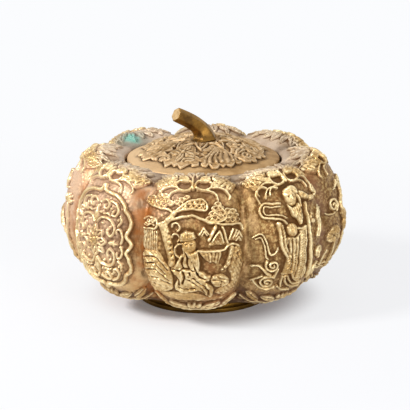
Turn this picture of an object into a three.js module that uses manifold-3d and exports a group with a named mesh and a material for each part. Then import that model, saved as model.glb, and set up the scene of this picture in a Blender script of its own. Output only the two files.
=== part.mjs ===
// A lidded brass box in the form of a ribbed pumpkin: a lobed cast bowl on a turned foot,
// and a low domed lid that lifts out of the mouth by its bent stalk. Both carry cast relief, of which
// the main raised forms are modelled with few facets.
// Millimetres, +Z up, origin at the centre of the foot's resting face, one lobe facing -Y.
import * as THREE from "three";
import { mergeVertices } from "three/addons/utils/BufferGeometryUtils.js";
import Module from "manifold-3d";

// Driving dimensions of the bowl
const LOBE_COUNT = 8;
const BELLY_RADIUS = 50; // lobe crest at the widest ring
const BELLY_HEIGHT = 28.6; // level of the widest ring
const SHOULDER_HEIGHT = 53.8; // top of the lobes
const MOUTH_RADIUS = 27.9; // plain round mouth inside the rolled-in lobes
const LIP_ROLL_WIDTH = 8.1; // from the mouth out to the ring on which the lobes stand highest
const LIP_DROP = 4.2; // of the mouth's edge below the top of the lobes
const UNDERSIDE_WIDTH = 2; // level ring of the underside outside the foot's top
const NECK_LENGTH = 3; // plain wall below the mouth's edge
const BOWL_WALL = 2.6;
const GROOVE_DEPTH = 5; // of the valleys between two lobes
const GROOVE_SHARPNESS = 3; // a higher power gives flatter lobes with steeper sides
const GROOVE_RUNOUT = 12; // radial length over which a valley dies away at either end
const VALLEY_ROUNDING = 0.05; // share of half a lobe that the valley's bottom is rounded over

// Driving dimensions of the relief that is cast on the bowl and on the lid
const RELIEF_HEIGHT = 1; // of a form of height 1 above the skin
const RELIEF_ROOT = 0.9; // how far a form reaches down into the skin that carries it
const RELIEF_TOP_SHARE = 0.62; // width of a form's top, as a share of its width at the root
const LEAF_HEIGHT = 0.6; // of the lid's leaves above the dome
const LINE_SHARE = 0.11; // forms up to this half width, in units of the drawing, have a sharp crest

// Driving dimensions of the foot and of the plate that closes the bowl's floor
const FOOT_RADIUS = 24;
const FOOT_WIDTH = 3.6;
const FOOT_HEIGHT = 3.1;
const FOOT_ROUNDING = 0.6; // of the outer edge that stands on the table
const FOOT_COVE_WIDTH = 1; // hollow under the bowl
const FOOT_COVE_HEIGHT = 1.6;
const BASE_PLATE_THICKNESS = 1.6;
const BASE_PLATE_LEDGE = 2.1; // how far the bowl's floor reaches over the plate

// Driving dimensions of the lid and its seat
const SEAT_DEPTH = 0.7; // below the mouth's edge
const SEAT_WIDTH = 3.4;
const SEAT_THICKNESS = 2;
const LID_CLEARANCE = 0.8; // between the lid's edge and the mouth
const LID_EDGE_HEIGHT = 1.7;
const LID_BORDER_WIDTH = 4; // plain sloping border inside the edge
const LID_BORDER_RISE = 1.3;
const LID_DOME_RISE = 5.3;
const LID_WALL = 2.2;
const LEAF_COUNT = 8;
const LOCATING_CLEARANCE = 0.4; // between the locating ring and the seat
const LOCATING_THICKNESS = 1.6;
const LOCATING_DEPTH = 4;

// Driving dimensions of the stalk and its riveted tenon
const STALK_SIDES = 6;
const STALK_ROOT_RADIUS = 5.2;
const STALK_MIDDLE_RADIUS = 3.2;
const STALK_TIP_RADIUS = 2.6;
const STALK_EDGE_WIDTH = 0.9; // flat that takes the sharpness off each edge, at the root
const STALK_FLARE_SHARE = 0.45; // share of the stalk over which its root narrows
const STALK_RISE = 10; // of the tip's centre above the lid's crown
const STALK_REACH = 11; // of the tip's centre from the box's axis, in plan
const STALK_LEAN_DEGREES = 35; // direction of the reach, from -X towards -Y
const STALK_ROOT_PULL = 4.6; // length over which the stalk leaves the lid upright
const STALK_TIP_PULL = 6; // length over which it settles to its tip's slope
const STALK_TIP_DEGREES = 27; // slope of the tip above level
const CROWN_MARGIN = 0.9; // of the lid's flat crown round the stalk's root
const TENON_RADIUS = 2;
const TENON_ROOT_DEPTH = 2.3; // how far the tenon reaches up into the stalk
const RIVET_HEAD_OVERLAP = 1.2; // of the tenon's spread end past the tenon
const RIVET_HEAD_HEIGHT = 1;
const WASHER_MARGIN = 1.4; // of the washer past the tenon's spread end
const WASHER_THICKNESS = 1;

const JOINT_GAP = 0.3; // left between pieces that are soldered, riveted or at rest on each other

// Numbers of facets
const COLUMN_SHARES = [0, 0.4, 0.7, 0.88]; // of half a lobe: columns crowd towards the valleys
const LID_COLUMNS = 40;
const RING_COLUMNS = 40;
const SMALL_COLUMNS = 20;
const STALK_STEPS = 14;
const BOWL_STEPS = { lower: 7, upper: 6, lip: 3, neck: 2, innerUpper: 3, innerLower: 5 };
const LID_STEPS = { dome: 4, vault: 3 };
const FOOT_STEPS = { edge: 2, cove: 3 };

const WELD_DISTANCE = 1e-4; // vertices closer than this are one

const { degToRad, lerp, smoothstep } = THREE.MathUtils;
const wasm = await Module();
wasm.setup();

/** How deep a valley is at an angle from the front: 0 on a lobe's crest, about 1 between lobes. */
function valley(angle) {
  const turn = (angle * LOBE_COUNT) / (2 * Math.PI);
  const fromCrest = Math.abs(turn - Math.round(turn)) * 2;
  const fromValley = Math.hypot(1 - fromCrest, VALLEY_ROUNDING);
  return Math.max(0, 1 - fromValley) ** GROOVE_SHARPNESS;
}

/** Points of an elliptical arc in the meridian plane, as [radius, height], end points included. */
function arc(centre, radii, fromDegrees, toDegrees, steps) {
  const turn = [degToRad(fromDegrees), degToRad(toDegrees), toDegrees < fromDegrees];
  const curve = new THREE.EllipseCurve(...centre, ...radii, ...turn);
  return curve.getPoints(steps).map(({ x, y }) => [x, y]);
}

/** A solid turned about Z from an outline of [radius, height] points, closed unless it ends on Z. */
function turned(outline, columns) {
  const points = outline.map(([radius, height]) => new THREE.Vector2(radius, height));
  if (points[0].x > 0) points.push(points[0].clone());
  return new THREE.LatheGeometry(points, columns).rotateX(Math.PI / 2);
}

/** A plain turned ring of rectangular section. */
function turnedRing(innerRadius, outerRadius, bottom, top, columns) {
  const outline = [
    [innerRadius, bottom],
    [outerRadius, bottom],
    [outerRadius, top],
    [innerRadius, top],
  ];
  return turned(outline, columns);
}

/** Triangles of the band between two rows of vertices, closed from its last column back to its first. */
function band(lower, upper) {
  const corners = [];
  for (let i = 0; i < lower.length; i++) {
    const next = (i + 1) % lower.length;
    corners.push(lower[i], lower[next], upper[next], lower[i], upper[next], upper[i]);
  }
  return corners;
}

function indexed(positions, corners) {
  const geometry = new THREE.BufferGeometry();
  geometry.setAttribute("position", new THREE.Float32BufferAttribute(positions, 3));
  geometry.setIndex(corners);
  geometry.computeVertexNormals();
  return geometry;
}

/** A closed solid round Z from its section, with columns at the angles given and each vertex moved by
 *  move(radius, height, angle) = [outwards, upwards]. */
function turnedAt(angles, outline, move) {
  const positions = [];
  for (const [radius, height] of outline) {
    for (const angle of angles) {
      const [outwards, upwards] = move(radius, height, angle);
      const moved = radius + outwards;
      positions.push(moved * Math.sin(angle), -moved * Math.cos(angle), height + upwards);
    }
  }
  const rows = outline.map((_, row) => angles.map((_, column) => row * angles.length + column));
  const corners = rows.flatMap((row, i) => band(row, rows[(i + 1) % rows.length]));
  return indexed(positions, corners);
}

/** A geometry as a solid that can be joined to another. */
function solid(geometry) {
  const bare = new THREE.BufferGeometry();
  bare.setAttribute("position", geometry.getAttribute("position"));
  bare.setIndex(geometry.getIndex());
  const merged = mergeVertices(bare, WELD_DISTANCE);
  const corners = merged.getIndex().array;
  const triVerts = [];
  for (let i = 0; i < corners.length; i += 3) {
    const triangle = [corners[i], corners[i + 1], corners[i + 2]];
    if (new Set(triangle).size === 3) triVerts.push(...triangle);
  }
  return new wasm.Manifold(
    new wasm.Mesh({
      numProp: 3,
      vertProperties: new Float32Array(merged.getAttribute("position").array),
      triVerts: new Uint32Array(triVerts),
    }),
  );
}

/** Geometries joined into one. */
function joined(...geometries) {
  const whole = geometries.map(solid).reduce((sum, part) => sum.add(part));
  const { vertProperties, triVerts } = whole.getMesh();
  const geometry = new THREE.BufferGeometry();
  geometry.setAttribute("position", new THREE.BufferAttribute(vertProperties, 3));
  geometry.setIndex(new THREE.BufferAttribute(triVerts, 1));
  geometry.computeVertexNormals();
  return geometry;
}

// The relief: raised forms with sloping sides, each drawn as [height, ...stations], where a station is
// [across, along, half width]. The unit is half a lobe's width at the belly, or half a leaf's at the
// lid's border, and a drawing starts from the middle of the belly, or from the lid's crown.

const mirrored = ([height, ...stations]) => [height, ...stations.map(([x, y, half]) => [-x, y, half])];
const flipped = ([height, ...stations]) => [height, ...stations.map(([x, y, half]) => [x, -y, half])];
const bothSides = (forms) => [...forms, ...forms.map(mirrored)];
const fourSides = (forms) => bothSides([...forms, ...forms.map(flipped)]);

// The cloud collar at the top of every lobe and the leaf wreath above the foot
const COLLAR = [
  ...bothSides([[0.8, [0.1, 1.3, 0.09], [0.34, 1.37, 0.17], [0.66, 1.2, 0.05]]]),
  [1.1, [0, 1.15, 0.03], [0, 1.38, 0.06], [0, 1.53, 0.02]],
];
const WREATH = bothSides([[0.8, [0.06, -1.27, 0.02], [0.34, -1.15, 0.11], [0.7, -1, 0.02]]]);
const COLLAR_SHOULDER = 1.60016; // where the top of the lobe lies in the collar's drawing
const WREATH_FOOT = -2.008; // where the bowl meets its foot in the wreath's drawing

// A scholar who sits under a pine, between rocks and hills
const PINE_SCENE = [
  [1.1, [-0.36, -0.14, 0.09], [-0.42, 0.22, 0.07], [-0.5, 0.52, 0.075], [-0.33, 0.76, 0.05]],
  [0.8, [-0.42, 0.62, 0.045], [-0.02, 0.71, 0.05], [0.34, 0.6, 0.05], [0.84, 0.56, 0.03]],
  [0.9, [-0.9, 0.98, 0.03], [-0.62, 0.96, 0.13], [-0.2, 0.9, 0.05]],
  [0.9, [0.26, 0.74, 0.04], [0.46, 0.8, 0.12], [0.74, 0.74, 0.06]],
  [1, [-0.8, 0.02, 0.12], [-0.66, -0.32, 0.24], [-0.56, -0.68, 0.14]],
  [1.1, [-0.1, 0.08, 0.1], [-0.1, -0.26, 0.2], [-0.07, -0.7, 0.24]],
  [0.9, [0.12, -0.44, 0.07], [0.3, -0.58, 0.1], [0.31, -0.82, 0.05]],
  [1.5, [-0.06, 0.12, 0.07], [-0.06, 0.28, 0.12], [-0.06, 0.44, 0.06]],
  [0.95, [0.36, -0.42, 0.06], [0.5, -0.45, 0.14], [0.64, -0.5, 0.06]],
  [0.8, [0.14, 0.13, 0.04], [0.5, 0.11, 0.06], [0.72, 0.2, 0.05]],
  [0.8, [0.3, 0.26, 0.04], [0.45, 0.42, 0.06], [0.6, 0.27, 0.04]],
];

// An elder with a staff, between a streamer and clouds
const ELDER_SCENE = [
  [1, [-0.08, 0.26, 0.14], [-0.07, -0.14, 0.22], [0.03, -0.62, 0.2]],
  [1.5, [-0.06, 0.76, 0.08], [-0.06, 0.92, 0.14], [-0.05, 1.09, 0.06]],
  [1.3, [-0.07, 0.74, 0.09], [-0.01, 0.55, 0.1], [0.03, 0.36, 0.03]],
  [1.2, [-0.42, 0.5, 0.04], [-0.4, 0.22, 0.08], [-0.26, -0.11, 0.04]],
  [1.25, [0.22, 0.72, 0.05], [0.26, 0, 0.05], [0.33, -0.66, 0.05]],
  [
    0.8,
    ...[[-0.3, 0.82, 0.04], [-0.58, 0.88, 0.04], [-0.68, 0.72, 0.05]],
    ...[[-0.56, 0.6, 0.04], [-0.28, 0.52, 0.03]],
  ],
  [0.9, [-0.74, -0.24, 0.05], [-0.55, -0.25, 0.13], [-0.38, -0.3, 0.04]],
  [0.9, [-0.74, -0.56, 0.05], [-0.54, -0.62, 0.15], [-0.36, -0.68, 0.05]],
  [0.9, [0.44, -0.4, 0.05], [0.6, -0.4, 0.15], [0.76, -0.4, 0.04]],
];

// A crane in a lotus pond
const CRANE_SCENE = [
  [1.2, [-0.28, 0.1, 0.06], [0, 0.06, 0.19], [0.28, -0.06, 0.15], [0.52, -0.24, 0.06]],
  [1, [-0.2, 0.14, 0.06], [-0.33, 0.34, 0.05], [-0.18, 0.56, 0.05], [-0.24, 0.74, 0.045]],
  [1.2, [-0.16, 0.8, 0.05], [-0.3, 0.78, 0.05], [-0.5, 0.7, 0.015]],
  [0.8, [-0.02, -0.04, 0.04], [-0.02, -0.7, 0.04]],
  [0.8, [0.14, -0.06, 0.04], [0.13, -0.7, 0.04]],
  [0.9, [-0.86, -0.1, 0.05], [-0.64, -0.1, 0.17], [-0.44, -0.12, 0.05]],
  [0.9, [0.57, 0.34, 0.05], [0.57, 0.48, 0.17], [0.57, 0.64, 0.05]],
  [0.7, [0.44, -0.74, 0.04], [0.6, 0, 0.04], [0.57, 0.38, 0.04]],
];

// A barbed medallion with a rosette between scrolls
const BARBED_QUARTER = [[0, 0.98], [0.14, 0.87], [0.44, 0.78], [0.67, 0.48], [0.68, 0.13], [0.76, 0]];
const BARBED_HALF = [...BARBED_QUARTER, ...BARBED_QUARTER.slice(0, -1).reverse().map(([x, y]) => [x, -y])];
const BARBED_RING = [...BARBED_HALF, ...BARBED_HALF.slice(1, -1).reverse().map(([x, y]) => [-x, y])];
const MEDALLION_LINE = 0.05; // half its width
const MEDALLION_FRAME = [1.1, ...BARBED_RING.map((place) => [...place, MEDALLION_LINE])];
const MEDALLION = [
  ...fourSides([[0.9, [0.16, 0.58, 0.04], [0.36, 0.46, 0.09], [0.46, 0.22, 0.03]]]),
  ...bothSides([[1, [0.05, 0, 0.04], [0.22, 0, 0.1], [0.42, 0, 0.02]]]),
  [1, [0, 0.05, 0.04], [0, 0.24, 0.1], [0, 0.5, 0.02]],
  [1, [0, -0.05, 0.04], [0, -0.24, 0.1], [0, -0.5, 0.02]],
];

const LOBE_SCENES = [PINE_SCENE, ELDER_SCENE, CRANE_SCENE, MEDALLION];
const SCENE_FORMS = [...LOBE_SCENES.flat(), MEDALLION_FRAME];

// The lid's leaves, and what stands on them by turns: a fan of veins or a blossom
const LEAF = [[1, [0, 0.16, 0.12], [0, 0.8, 0.4], [0, 1.45, 0.78], [0, 1.8, 0.4]]];
const FAN = [
  [1.6, [0, 0.3, 0.04], [0, 1, 0.07], [0, 1.7, 0.05]],
  ...bothSides([[1.5, [0.12, 0.6, 0.03], [0.27, 1.05, 0.07], [0.4, 1.56, 0.04]]]),
];
const BLOSSOM = [
  [1.7, [0, 1.02, 0.05], [0, 1.36, 0.18], [0, 1.68, 0.05]],
  ...bothSides([[1.6, [0.12, 0.9, 0.04], [0.36, 1.12, 0.15], [0.54, 1.4, 0.04]]]),
];
const LEAF_ORNAMENTS = [FAN, BLOSSOM];

/** How far drawings reach from where they start, up (way 1) or down (way -1), in their own unit. */
function drawnReach(forms, way) {
  const stations = forms.flatMap(([, ...drawn]) => drawn);
  return Math.max(...stations.map(([, along, half]) => way * along + half));
}

/** Section of a raised form across its way, as [aside, up]: a sharp crest, or sloping sides and a top. */
function formSection(half, rise, isLine) {
  const top = half * RELIEF_TOP_SHARE;
  const crest = isLine ? [[0, rise]] : [[-top, rise], [top, rise]];
  return [[-half, -RELIEF_ROOT], ...crest, [half, -RELIEF_ROOT]];
}

/** One raised form as a geometry, put where place(across, along, up) says, all in millimetres. */
function raisedForm([height, ...stations], { unit, unitHeight, place }, isRing = false) {
  const positions = [];
  const count = stations.length;
  const isLine = stations.every(([, , half]) => half <= LINE_SHARE);
  const sections = stations.map(([across, along, half], i) => {
    const before = stations[isRing ? (i + count - 1) % count : Math.max(i - 1, 0)];
    const after = stations[isRing ? (i + 1) % count : Math.min(i + 1, count - 1)];
    const way = new THREE.Vector2(after[0] - before[0], after[1] - before[1]).normalize();
    return formSection(half, height * unitHeight, isLine).map(([aside, up]) => {
      positions.push(...place((across + way.y * aside) * unit, (along - way.x * aside) * unit, up));
      return positions.length / 3 - 1;
    });
  });
  const lengthwise = isRing ? sections : sections.slice(0, -1);
  const sides = lengthwise.flatMap((section, i) => band(section, sections[(i + 1) % count]));
  if (isRing) return indexed(positions, sides);
  const fan = (ring) => ring.slice(2).flatMap((corner, i) => [ring[0], ring[i + 1], corner]);
  return indexed(positions, [...sides, ...fan([...sections[0]].reverse()), ...fan(sections[count - 1])]);
}

// The turned foot, drawn in under the bowl, and the plate that closes the bowl's floor inside it

const footInnerRadius = FOOT_RADIUS - FOOT_WIDTH;
const footTopRadius = FOOT_RADIUS - FOOT_COVE_WIDTH;
const basePlateRadius = footInnerRadius - JOINT_GAP;

function footRing() {
  const edgeCentre = [FOOT_RADIUS - FOOT_ROUNDING, FOOT_ROUNDING];
  const coveCentre = [FOOT_RADIUS, FOOT_HEIGHT];
  const outline = [
    [footInnerRadius, 0],
    ...arc(edgeCentre, [FOOT_ROUNDING, FOOT_ROUNDING], -90, 0, FOOT_STEPS.edge),
    ...arc(coveCentre, [FOOT_COVE_WIDTH, FOOT_COVE_HEIGHT], -90, -180, FOOT_STEPS.cove),
    [footInnerRadius, FOOT_HEIGHT],
  ];
  return turned(outline, RING_COLUMNS);
}

function basePlate() {
  const bottom = FOOT_HEIGHT - BASE_PLATE_THICKNESS;
  const outline = [
    [0, bottom],
    [basePlateRadius, bottom],
    [basePlateRadius, FOOT_HEIGHT],
    [0, FOOT_HEIGHT],
  ];
  return turned(outline, RING_COLUMNS);
}

// The bowl: a shell of even wall, swollen below and above its widest ring and rolled in at the mouth

const bowlBottom = FOOT_HEIGHT + JOINT_GAP;
const floorHoleRadius = basePlateRadius - BASE_PLATE_LEDGE;
const shoulderRadius = MOUTH_RADIUS + LIP_ROLL_WIDTH;
const mouthEdge = SHOULDER_HEIGHT - LIP_DROP;
const neckBottom = mouthEdge - NECK_LENGTH;
const undersideRadius = footTopRadius + UNDERSIDE_WIDTH;
const lowerRadii = [BELLY_RADIUS - undersideRadius, BELLY_HEIGHT - bowlBottom];
const upperRadii = [BELLY_RADIUS - shoulderRadius, SHOULDER_HEIGHT - BELLY_HEIGHT];

function bowlOutline() {
  const lowerCentre = [undersideRadius, BELLY_HEIGHT];
  const upperCentre = [shoulderRadius, BELLY_HEIGHT];
  const lipCentre = [shoulderRadius, mouthEdge];
  const neckCentre = [shoulderRadius, neckBottom];
  const neckRadii = [LIP_ROLL_WIDTH, SHOULDER_HEIGHT - BOWL_WALL - neckBottom];
  const inside = (radii) => radii.map((radius) => radius - BOWL_WALL);
  return [
    [floorHoleRadius, bowlBottom],
    ...arc(lowerCentre, lowerRadii, -90, 0, BOWL_STEPS.lower),
    ...arc(upperCentre, upperRadii, 0, 90, BOWL_STEPS.upper).slice(1),
    ...arc(lipCentre, [LIP_ROLL_WIDTH, LIP_DROP], 90, 180, BOWL_STEPS.lip).slice(1),
    ...arc(neckCentre, neckRadii, 180, 90, BOWL_STEPS.neck),
    ...arc(upperCentre, inside(upperRadii), 90, 0, BOWL_STEPS.innerUpper).slice(1),
    ...arc(lowerCentre, inside(lowerRadii), 0, -90, BOWL_STEPS.innerLower).slice(1),
    [floorHoleRadius, bowlBottom + BOWL_WALL],
  ];
}

/** Outward direction of the bowl's skin at a point of its section, as [outwards, upwards]. */
function skinDirection(radius, height) {
  if (height > BELLY_HEIGHT && radius < shoulderRadius) return [0, 1];
  const isUpper = height > BELLY_HEIGHT;
  const [centre, radii] = isUpper ? [shoulderRadius, upperRadii] : [undersideRadius, lowerRadii];
  const slope = [(radius - centre) / radii[0] ** 2, (height - BELLY_HEIGHT) / radii[1] ** 2];
  const length = Math.hypot(...slope);
  return slope.map((part) => part / length);
}

/** The valleys sink both skins of the bowl together, and die away at the foot and at the mouth. */
function bowlValley(radius, height, angle) {
  const end = height > BELLY_HEIGHT ? MOUTH_RADIUS : undersideRadius;
  const depth = GROOVE_DEPTH * valley(angle) * smoothstep(radius, end, end + GROOVE_RUNOUT);
  if (depth === 0) return [0, 0];
  return skinDirection(radius, height).map((part) => -depth * part);
}

/** Angles of the bowl's columns, which crowd towards the valleys. */
function bowlAngles() {
  const shares = [...COLUMN_SHARES, 1, ...COLUMN_SHARES.slice(1).reverse().map((share) => 2 - share)];
  const angles = [];
  for (let lobe = 0; lobe < LOBE_COUNT; lobe++) {
    angles.push(...shares.map((share) => ((2 * lobe + share) * Math.PI) / LOBE_COUNT));
  }
  return angles;
}

const halfLobeWidth = (Math.PI * BELLY_RADIUS) / LOBE_COUNT;
const lowerSkin = new THREE.EllipseCurve(undersideRadius, BELLY_HEIGHT, ...lowerRadii, -Math.PI / 2, 0);
const upperSkin = new THREE.EllipseCurve(shoulderRadius, BELLY_HEIGHT, ...upperRadii, 0, Math.PI / 2);

// Length of a drawing that covers each skin: the skin's own, or more where scenes are pressed together
const upperReach = Math.max(upperSkin.getLength(), halfLobeWidth * drawnReach(SCENE_FORMS, 1));
const lowerReach = Math.max(lowerSkin.getLength(), halfLobeWidth * drawnReach(SCENE_FORMS, -1));

// The collar hangs from the top of the lobe and the wreath stands on the foot
const collarShift = upperReach - halfLobeWidth * COLLAR_SHOULDER;
const wreathShift = -lowerReach - halfLobeWidth * WREATH_FOOT;

/** Where a point of a drawing lies on a lobe, and up from its skin. */
function onLobe(lobe, across, along, up) {
  const isUpper = along > 0;
  const share = isUpper ? along / upperReach : 1 + along / lowerReach;
  const { x: radius, y: height } = (isUpper ? upperSkin : lowerSkin).getPointAt(share);
  const angle = (lobe * 2 * Math.PI) / LOBE_COUNT + across / radius;
  const sunk = bowlValley(radius, height, angle);
  const [outwards, upwards] = skinDirection(radius, height);
  const moved = radius + sunk[0] + outwards * up;
  return [moved * Math.sin(angle), -moved * Math.cos(angle), height + sunk[1] + upwards * up];
}

/** The raised forms of one lobe. */
function lobeRelief(lobe) {
  const skin = (shift) => ({
    unit: halfLobeWidth,
    unitHeight: RELIEF_HEIGHT,
    place: (across, along, up) => onLobe(lobe, across, along + shift, up),
  });
  const raised = (forms, shift) => forms.map((form) => raisedForm(form, skin(shift)));
  const scene = LOBE_SCENES[lobe % LOBE_SCENES.length];
  const forms = [...raised(COLLAR, collarShift), ...raised(WREATH, wreathShift), ...raised(scene, 0)];
  return scene === MEDALLION ? [...forms, raisedForm(MEDALLION_FRAME, skin(0), true)] : forms;
}

function bowlShell() {
  const plain = turnedAt(bowlAngles(), bowlOutline(), bowlValley);
  const lobes = Array.from({ length: LOBE_COUNT }, (_, lobe) => lobe);
  return joined(plain, ...lobes.flatMap(lobeRelief));
}

// The seat soldered into the neck, on which the lid's edge rests

const seatTop = mouthEdge - SEAT_DEPTH;
const seatOuterRadius = MOUTH_RADIUS - JOINT_GAP;
const seatInnerRadius = seatOuterRadius - SEAT_WIDTH;

function mouthSeat() {
  const bottom = seatTop - SEAT_THICKNESS;
  return turnedRing(seatInnerRadius, seatOuterRadius, bottom, seatTop, RING_COLUMNS);
}

// The lid: a low vault inside a plain border, with raised leaves on it

const lidRadius = MOUTH_RADIUS - LID_CLEARANCE;
const lidBase = seatTop + JOINT_GAP;
const domeRadius = lidRadius - LID_BORDER_WIDTH;
const domeBase = lidBase + LID_EDGE_HEIGHT + LID_BORDER_RISE;
const sphereRadius = (domeRadius ** 2 + LID_DOME_RISE ** 2) / (2 * LID_DOME_RISE);
const sphereCentre = domeBase + LID_DOME_RISE - sphereRadius;
const vaultRadius = sphereRadius - LID_WALL;
const crownRadius = STALK_ROOT_RADIUS + CROWN_MARGIN;
const tenonHoleRadius = TENON_RADIUS + JOINT_GAP;
const locatingOuterRadius = seatInnerRadius - LOCATING_CLEARANCE;
const locatingInnerRadius = locatingOuterRadius - LOCATING_THICKNESS;

/** Height of one of the lid's two spherical skins at a distance from the axis. */
function skinHeight(skinRadius, radius) {
  return sphereCentre + Math.sqrt(skinRadius ** 2 - radius ** 2);
}

/** Points of one of the lid's skins between two distances from the axis. */
function skinArc(skinRadius, fromRadius, toRadius, steps) {
  const points = [];
  for (let i = 0; i <= steps; i++) {
    const radius = lerp(fromRadius, toRadius, i / steps);
    points.push([radius, skinHeight(skinRadius, radius)]);
  }
  return points;
}

const crownHeight = skinHeight(sphereRadius, crownRadius);

function lidOutline() {
  return [
    [locatingInnerRadius, lidBase],
    [lidRadius, lidBase],
    [lidRadius, lidBase + LID_EDGE_HEIGHT],
    ...skinArc(sphereRadius, domeRadius, crownRadius, LID_STEPS.dome),
    [tenonHoleRadius, crownHeight],
    ...skinArc(vaultRadius, tenonHoleRadius, locatingInnerRadius, LID_STEPS.vault),
  ];
}

const halfLeafWidth = (Math.PI * domeRadius) / LEAF_COUNT;

/** Where a point of a drawing lies on the dome, round from the middle of a leaf and out from the crown. */
function onLid(leaf, across, along, up) {
  const radius = crownRadius + along;
  const angle = ((2 * leaf + 1) * Math.PI) / LEAF_COUNT - across / radius;
  return [radius * Math.sin(angle), -radius * Math.cos(angle), skinHeight(sphereRadius, radius) + up];
}

function leafRelief(leaf) {
  const place = (across, along, up) => onLid(leaf, across, along, up);
  const skin = { unit: halfLeafWidth, unitHeight: LEAF_HEIGHT, place };
  const ornament = LEAF_ORNAMENTS[leaf % LEAF_ORNAMENTS.length];
  return [...LEAF, ...ornament].map((form) => raisedForm(form, skin));
}

function lidShell() {
  const leaves = Array.from({ length: LEAF_COUNT }, (_, leaf) => leaf);
  return joined(turned(lidOutline(), LID_COLUMNS), ...leaves.flatMap(leafRelief));
}

function locatingRing() {
  const top = lidBase - JOINT_GAP;
  const bottom = top - LOCATING_DEPTH;
  return turnedRing(locatingInnerRadius, locatingOuterRadius, bottom, top, RING_COLUMNS);
}

// The stalk: six-sided, flared at the root, bent over to one side and riveted through the lid

const stalkBase = crownHeight + JOINT_GAP;
const rivetHeadRadius = TENON_RADIUS + RIVET_HEAD_OVERLAP;
const washerRadius = rivetHeadRadius + WASHER_MARGIN;
const washerTop = skinHeight(vaultRadius, washerRadius) - JOINT_GAP;
const rivetHeadTop = washerTop - WASHER_THICKNESS - JOINT_GAP;

/** Six-sided section of circumradius 1 with a narrow flat along each edge. */
function stalkSection() {
  const sideLength = 2 * Math.sin(Math.PI / STALK_SIDES);
  const cut = STALK_EDGE_WIDTH / STALK_ROOT_RADIUS / sideLength / 2;
  const corners = [];
  for (let i = 0; i < STALK_SIDES; i++) {
    const turn = (2 * Math.PI) / STALK_SIDES;
    const corner = new THREE.Vector2(Math.cos(i * turn), Math.sin(i * turn));
    const next = new THREE.Vector2(Math.cos((i + 1) * turn), Math.sin((i + 1) * turn));
    corners.push(corner.clone().lerp(next, cut), next.clone().lerp(corner, cut));
  }
  return new THREE.Shape(corners);
}

/** The stalk's axis in its own upright plane: x along the reach, y upwards. */
function stalkAxis() {
  const slope = degToRad(STALK_TIP_DEGREES);
  const tip = new THREE.Vector2(STALK_REACH, STALK_RISE);
  const beforeTip = new THREE.Vector2(Math.cos(slope), Math.sin(slope)).multiplyScalar(-STALK_TIP_PULL);
  const root = new THREE.Vector2(0, 0);
  const afterRoot = new THREE.Vector2(0, STALK_ROOT_PULL);
  return new THREE.CubicBezierCurve(root, afterRoot, beforeTip.add(tip), tip);
}

/** Radius of the stalk at a share of its length from the root. */
function stalkRadius(share) {
  const flare = Math.max(0, 1 - share / STALK_FLARE_SHARE) ** 2;
  const shaft = lerp(STALK_MIDDLE_RADIUS, STALK_TIP_RADIUS, share);
  return shaft + (STALK_ROOT_RADIUS - STALK_MIDDLE_RADIUS) * flare;
}

/** A straight six-sided bar, bent along the axis and tapered as it goes. */
function stalkShaft() {
  const axis = stalkAxis();
  const bar = { depth: 1, steps: STALK_STEPS, bevelEnabled: false };
  const geometry = new THREE.ExtrudeGeometry(stalkSection(), bar);
  const position = geometry.getAttribute("position");
  for (let i = 0; i < position.count; i++) {
    const share = position.getZ(i);
    const radius = stalkRadius(share);
    const centre = axis.getPointAt(share);
    const along = axis.getTangentAt(share);
    const across = position.getX(i) * radius;
    const sideways = position.getY(i) * radius;
    position.setXYZ(i, centre.x + along.y * across, sideways, centre.y - along.x * across);
  }
  return geometry.rotateZ(Math.PI + degToRad(STALK_LEAN_DEGREES)).translate(0, 0, stalkBase);
}

function rivetTenon() {
  const outline = [
    [0, rivetHeadTop - RIVET_HEAD_HEIGHT],
    [rivetHeadRadius, rivetHeadTop - RIVET_HEAD_HEIGHT],
    [rivetHeadRadius, rivetHeadTop],
    [TENON_RADIUS, rivetHeadTop],
    [TENON_RADIUS, stalkBase + TENON_ROOT_DEPTH],
    [0, stalkBase + TENON_ROOT_DEPTH],
  ];
  return turned(outline, SMALL_COLUMNS);
}

function washer() {
  const bottom = washerTop - WASHER_THICKNESS;
  return turnedRing(tenonHoleRadius, washerRadius, bottom, washerTop, SMALL_COLUMNS);
}

// The assembly, in two groups that come apart: the bowl on its foot, and the lid

const CAST_BRASS = { color: 0x8a6a3c, roughness: 0.5, metalness: 0.9 };
const LID_BRASS = { color: 0xa58a5c, roughness: 0.6, metalness: 0.8 };
const STALK_BRASS = { color: 0x7d5c2c, roughness: 0.45, metalness: 0.9 };
const TURNED_BRASS = { color: 0xa8873c, roughness: 0.4, metalness: 0.95 };

function piece(name, geometry, finish) {
  const mesh = new THREE.Mesh(geometry, new THREE.MeshStandardMaterial(finish));
  mesh.name = name;
  return mesh;
}

const bowl = new THREE.Group().add(
  piece("bowl_shell", bowlShell(), CAST_BRASS),
  piece("foot_ring", footRing(), TURNED_BRASS),
  piece("base_plate", basePlate(), TURNED_BRASS),
  piece("mouth_seat", mouthSeat(), TURNED_BRASS),
);
const lid = new THREE.Group().add(
  piece("lid_shell", lidShell(), LID_BRASS),
  piece("lid_locating_ring", locatingRing(), TURNED_BRASS),
  piece("stalk_handle", joined(stalkShaft(), rivetTenon()), STALK_BRASS),
  piece("stalk_washer", washer(), TURNED_BRASS),
);

export default new THREE.Group().add(bowl, lid);
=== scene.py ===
# %% [markdown]
# # A pumpkin box in cast brass
# The object is a small lidded box, cast in brass as a pumpkin with eight lobes. Scenes and
# ornaments stand in relief on the lobes, a round lid lies in the mouth, and a bent stalk on the lid
# is its handle. The solids of the box come from CAD and stay where they are. This script builds a
# finer skin for each of them, with real carved relief, and gives each its brass finish.

# %% Load the fixed frame
import math

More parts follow.
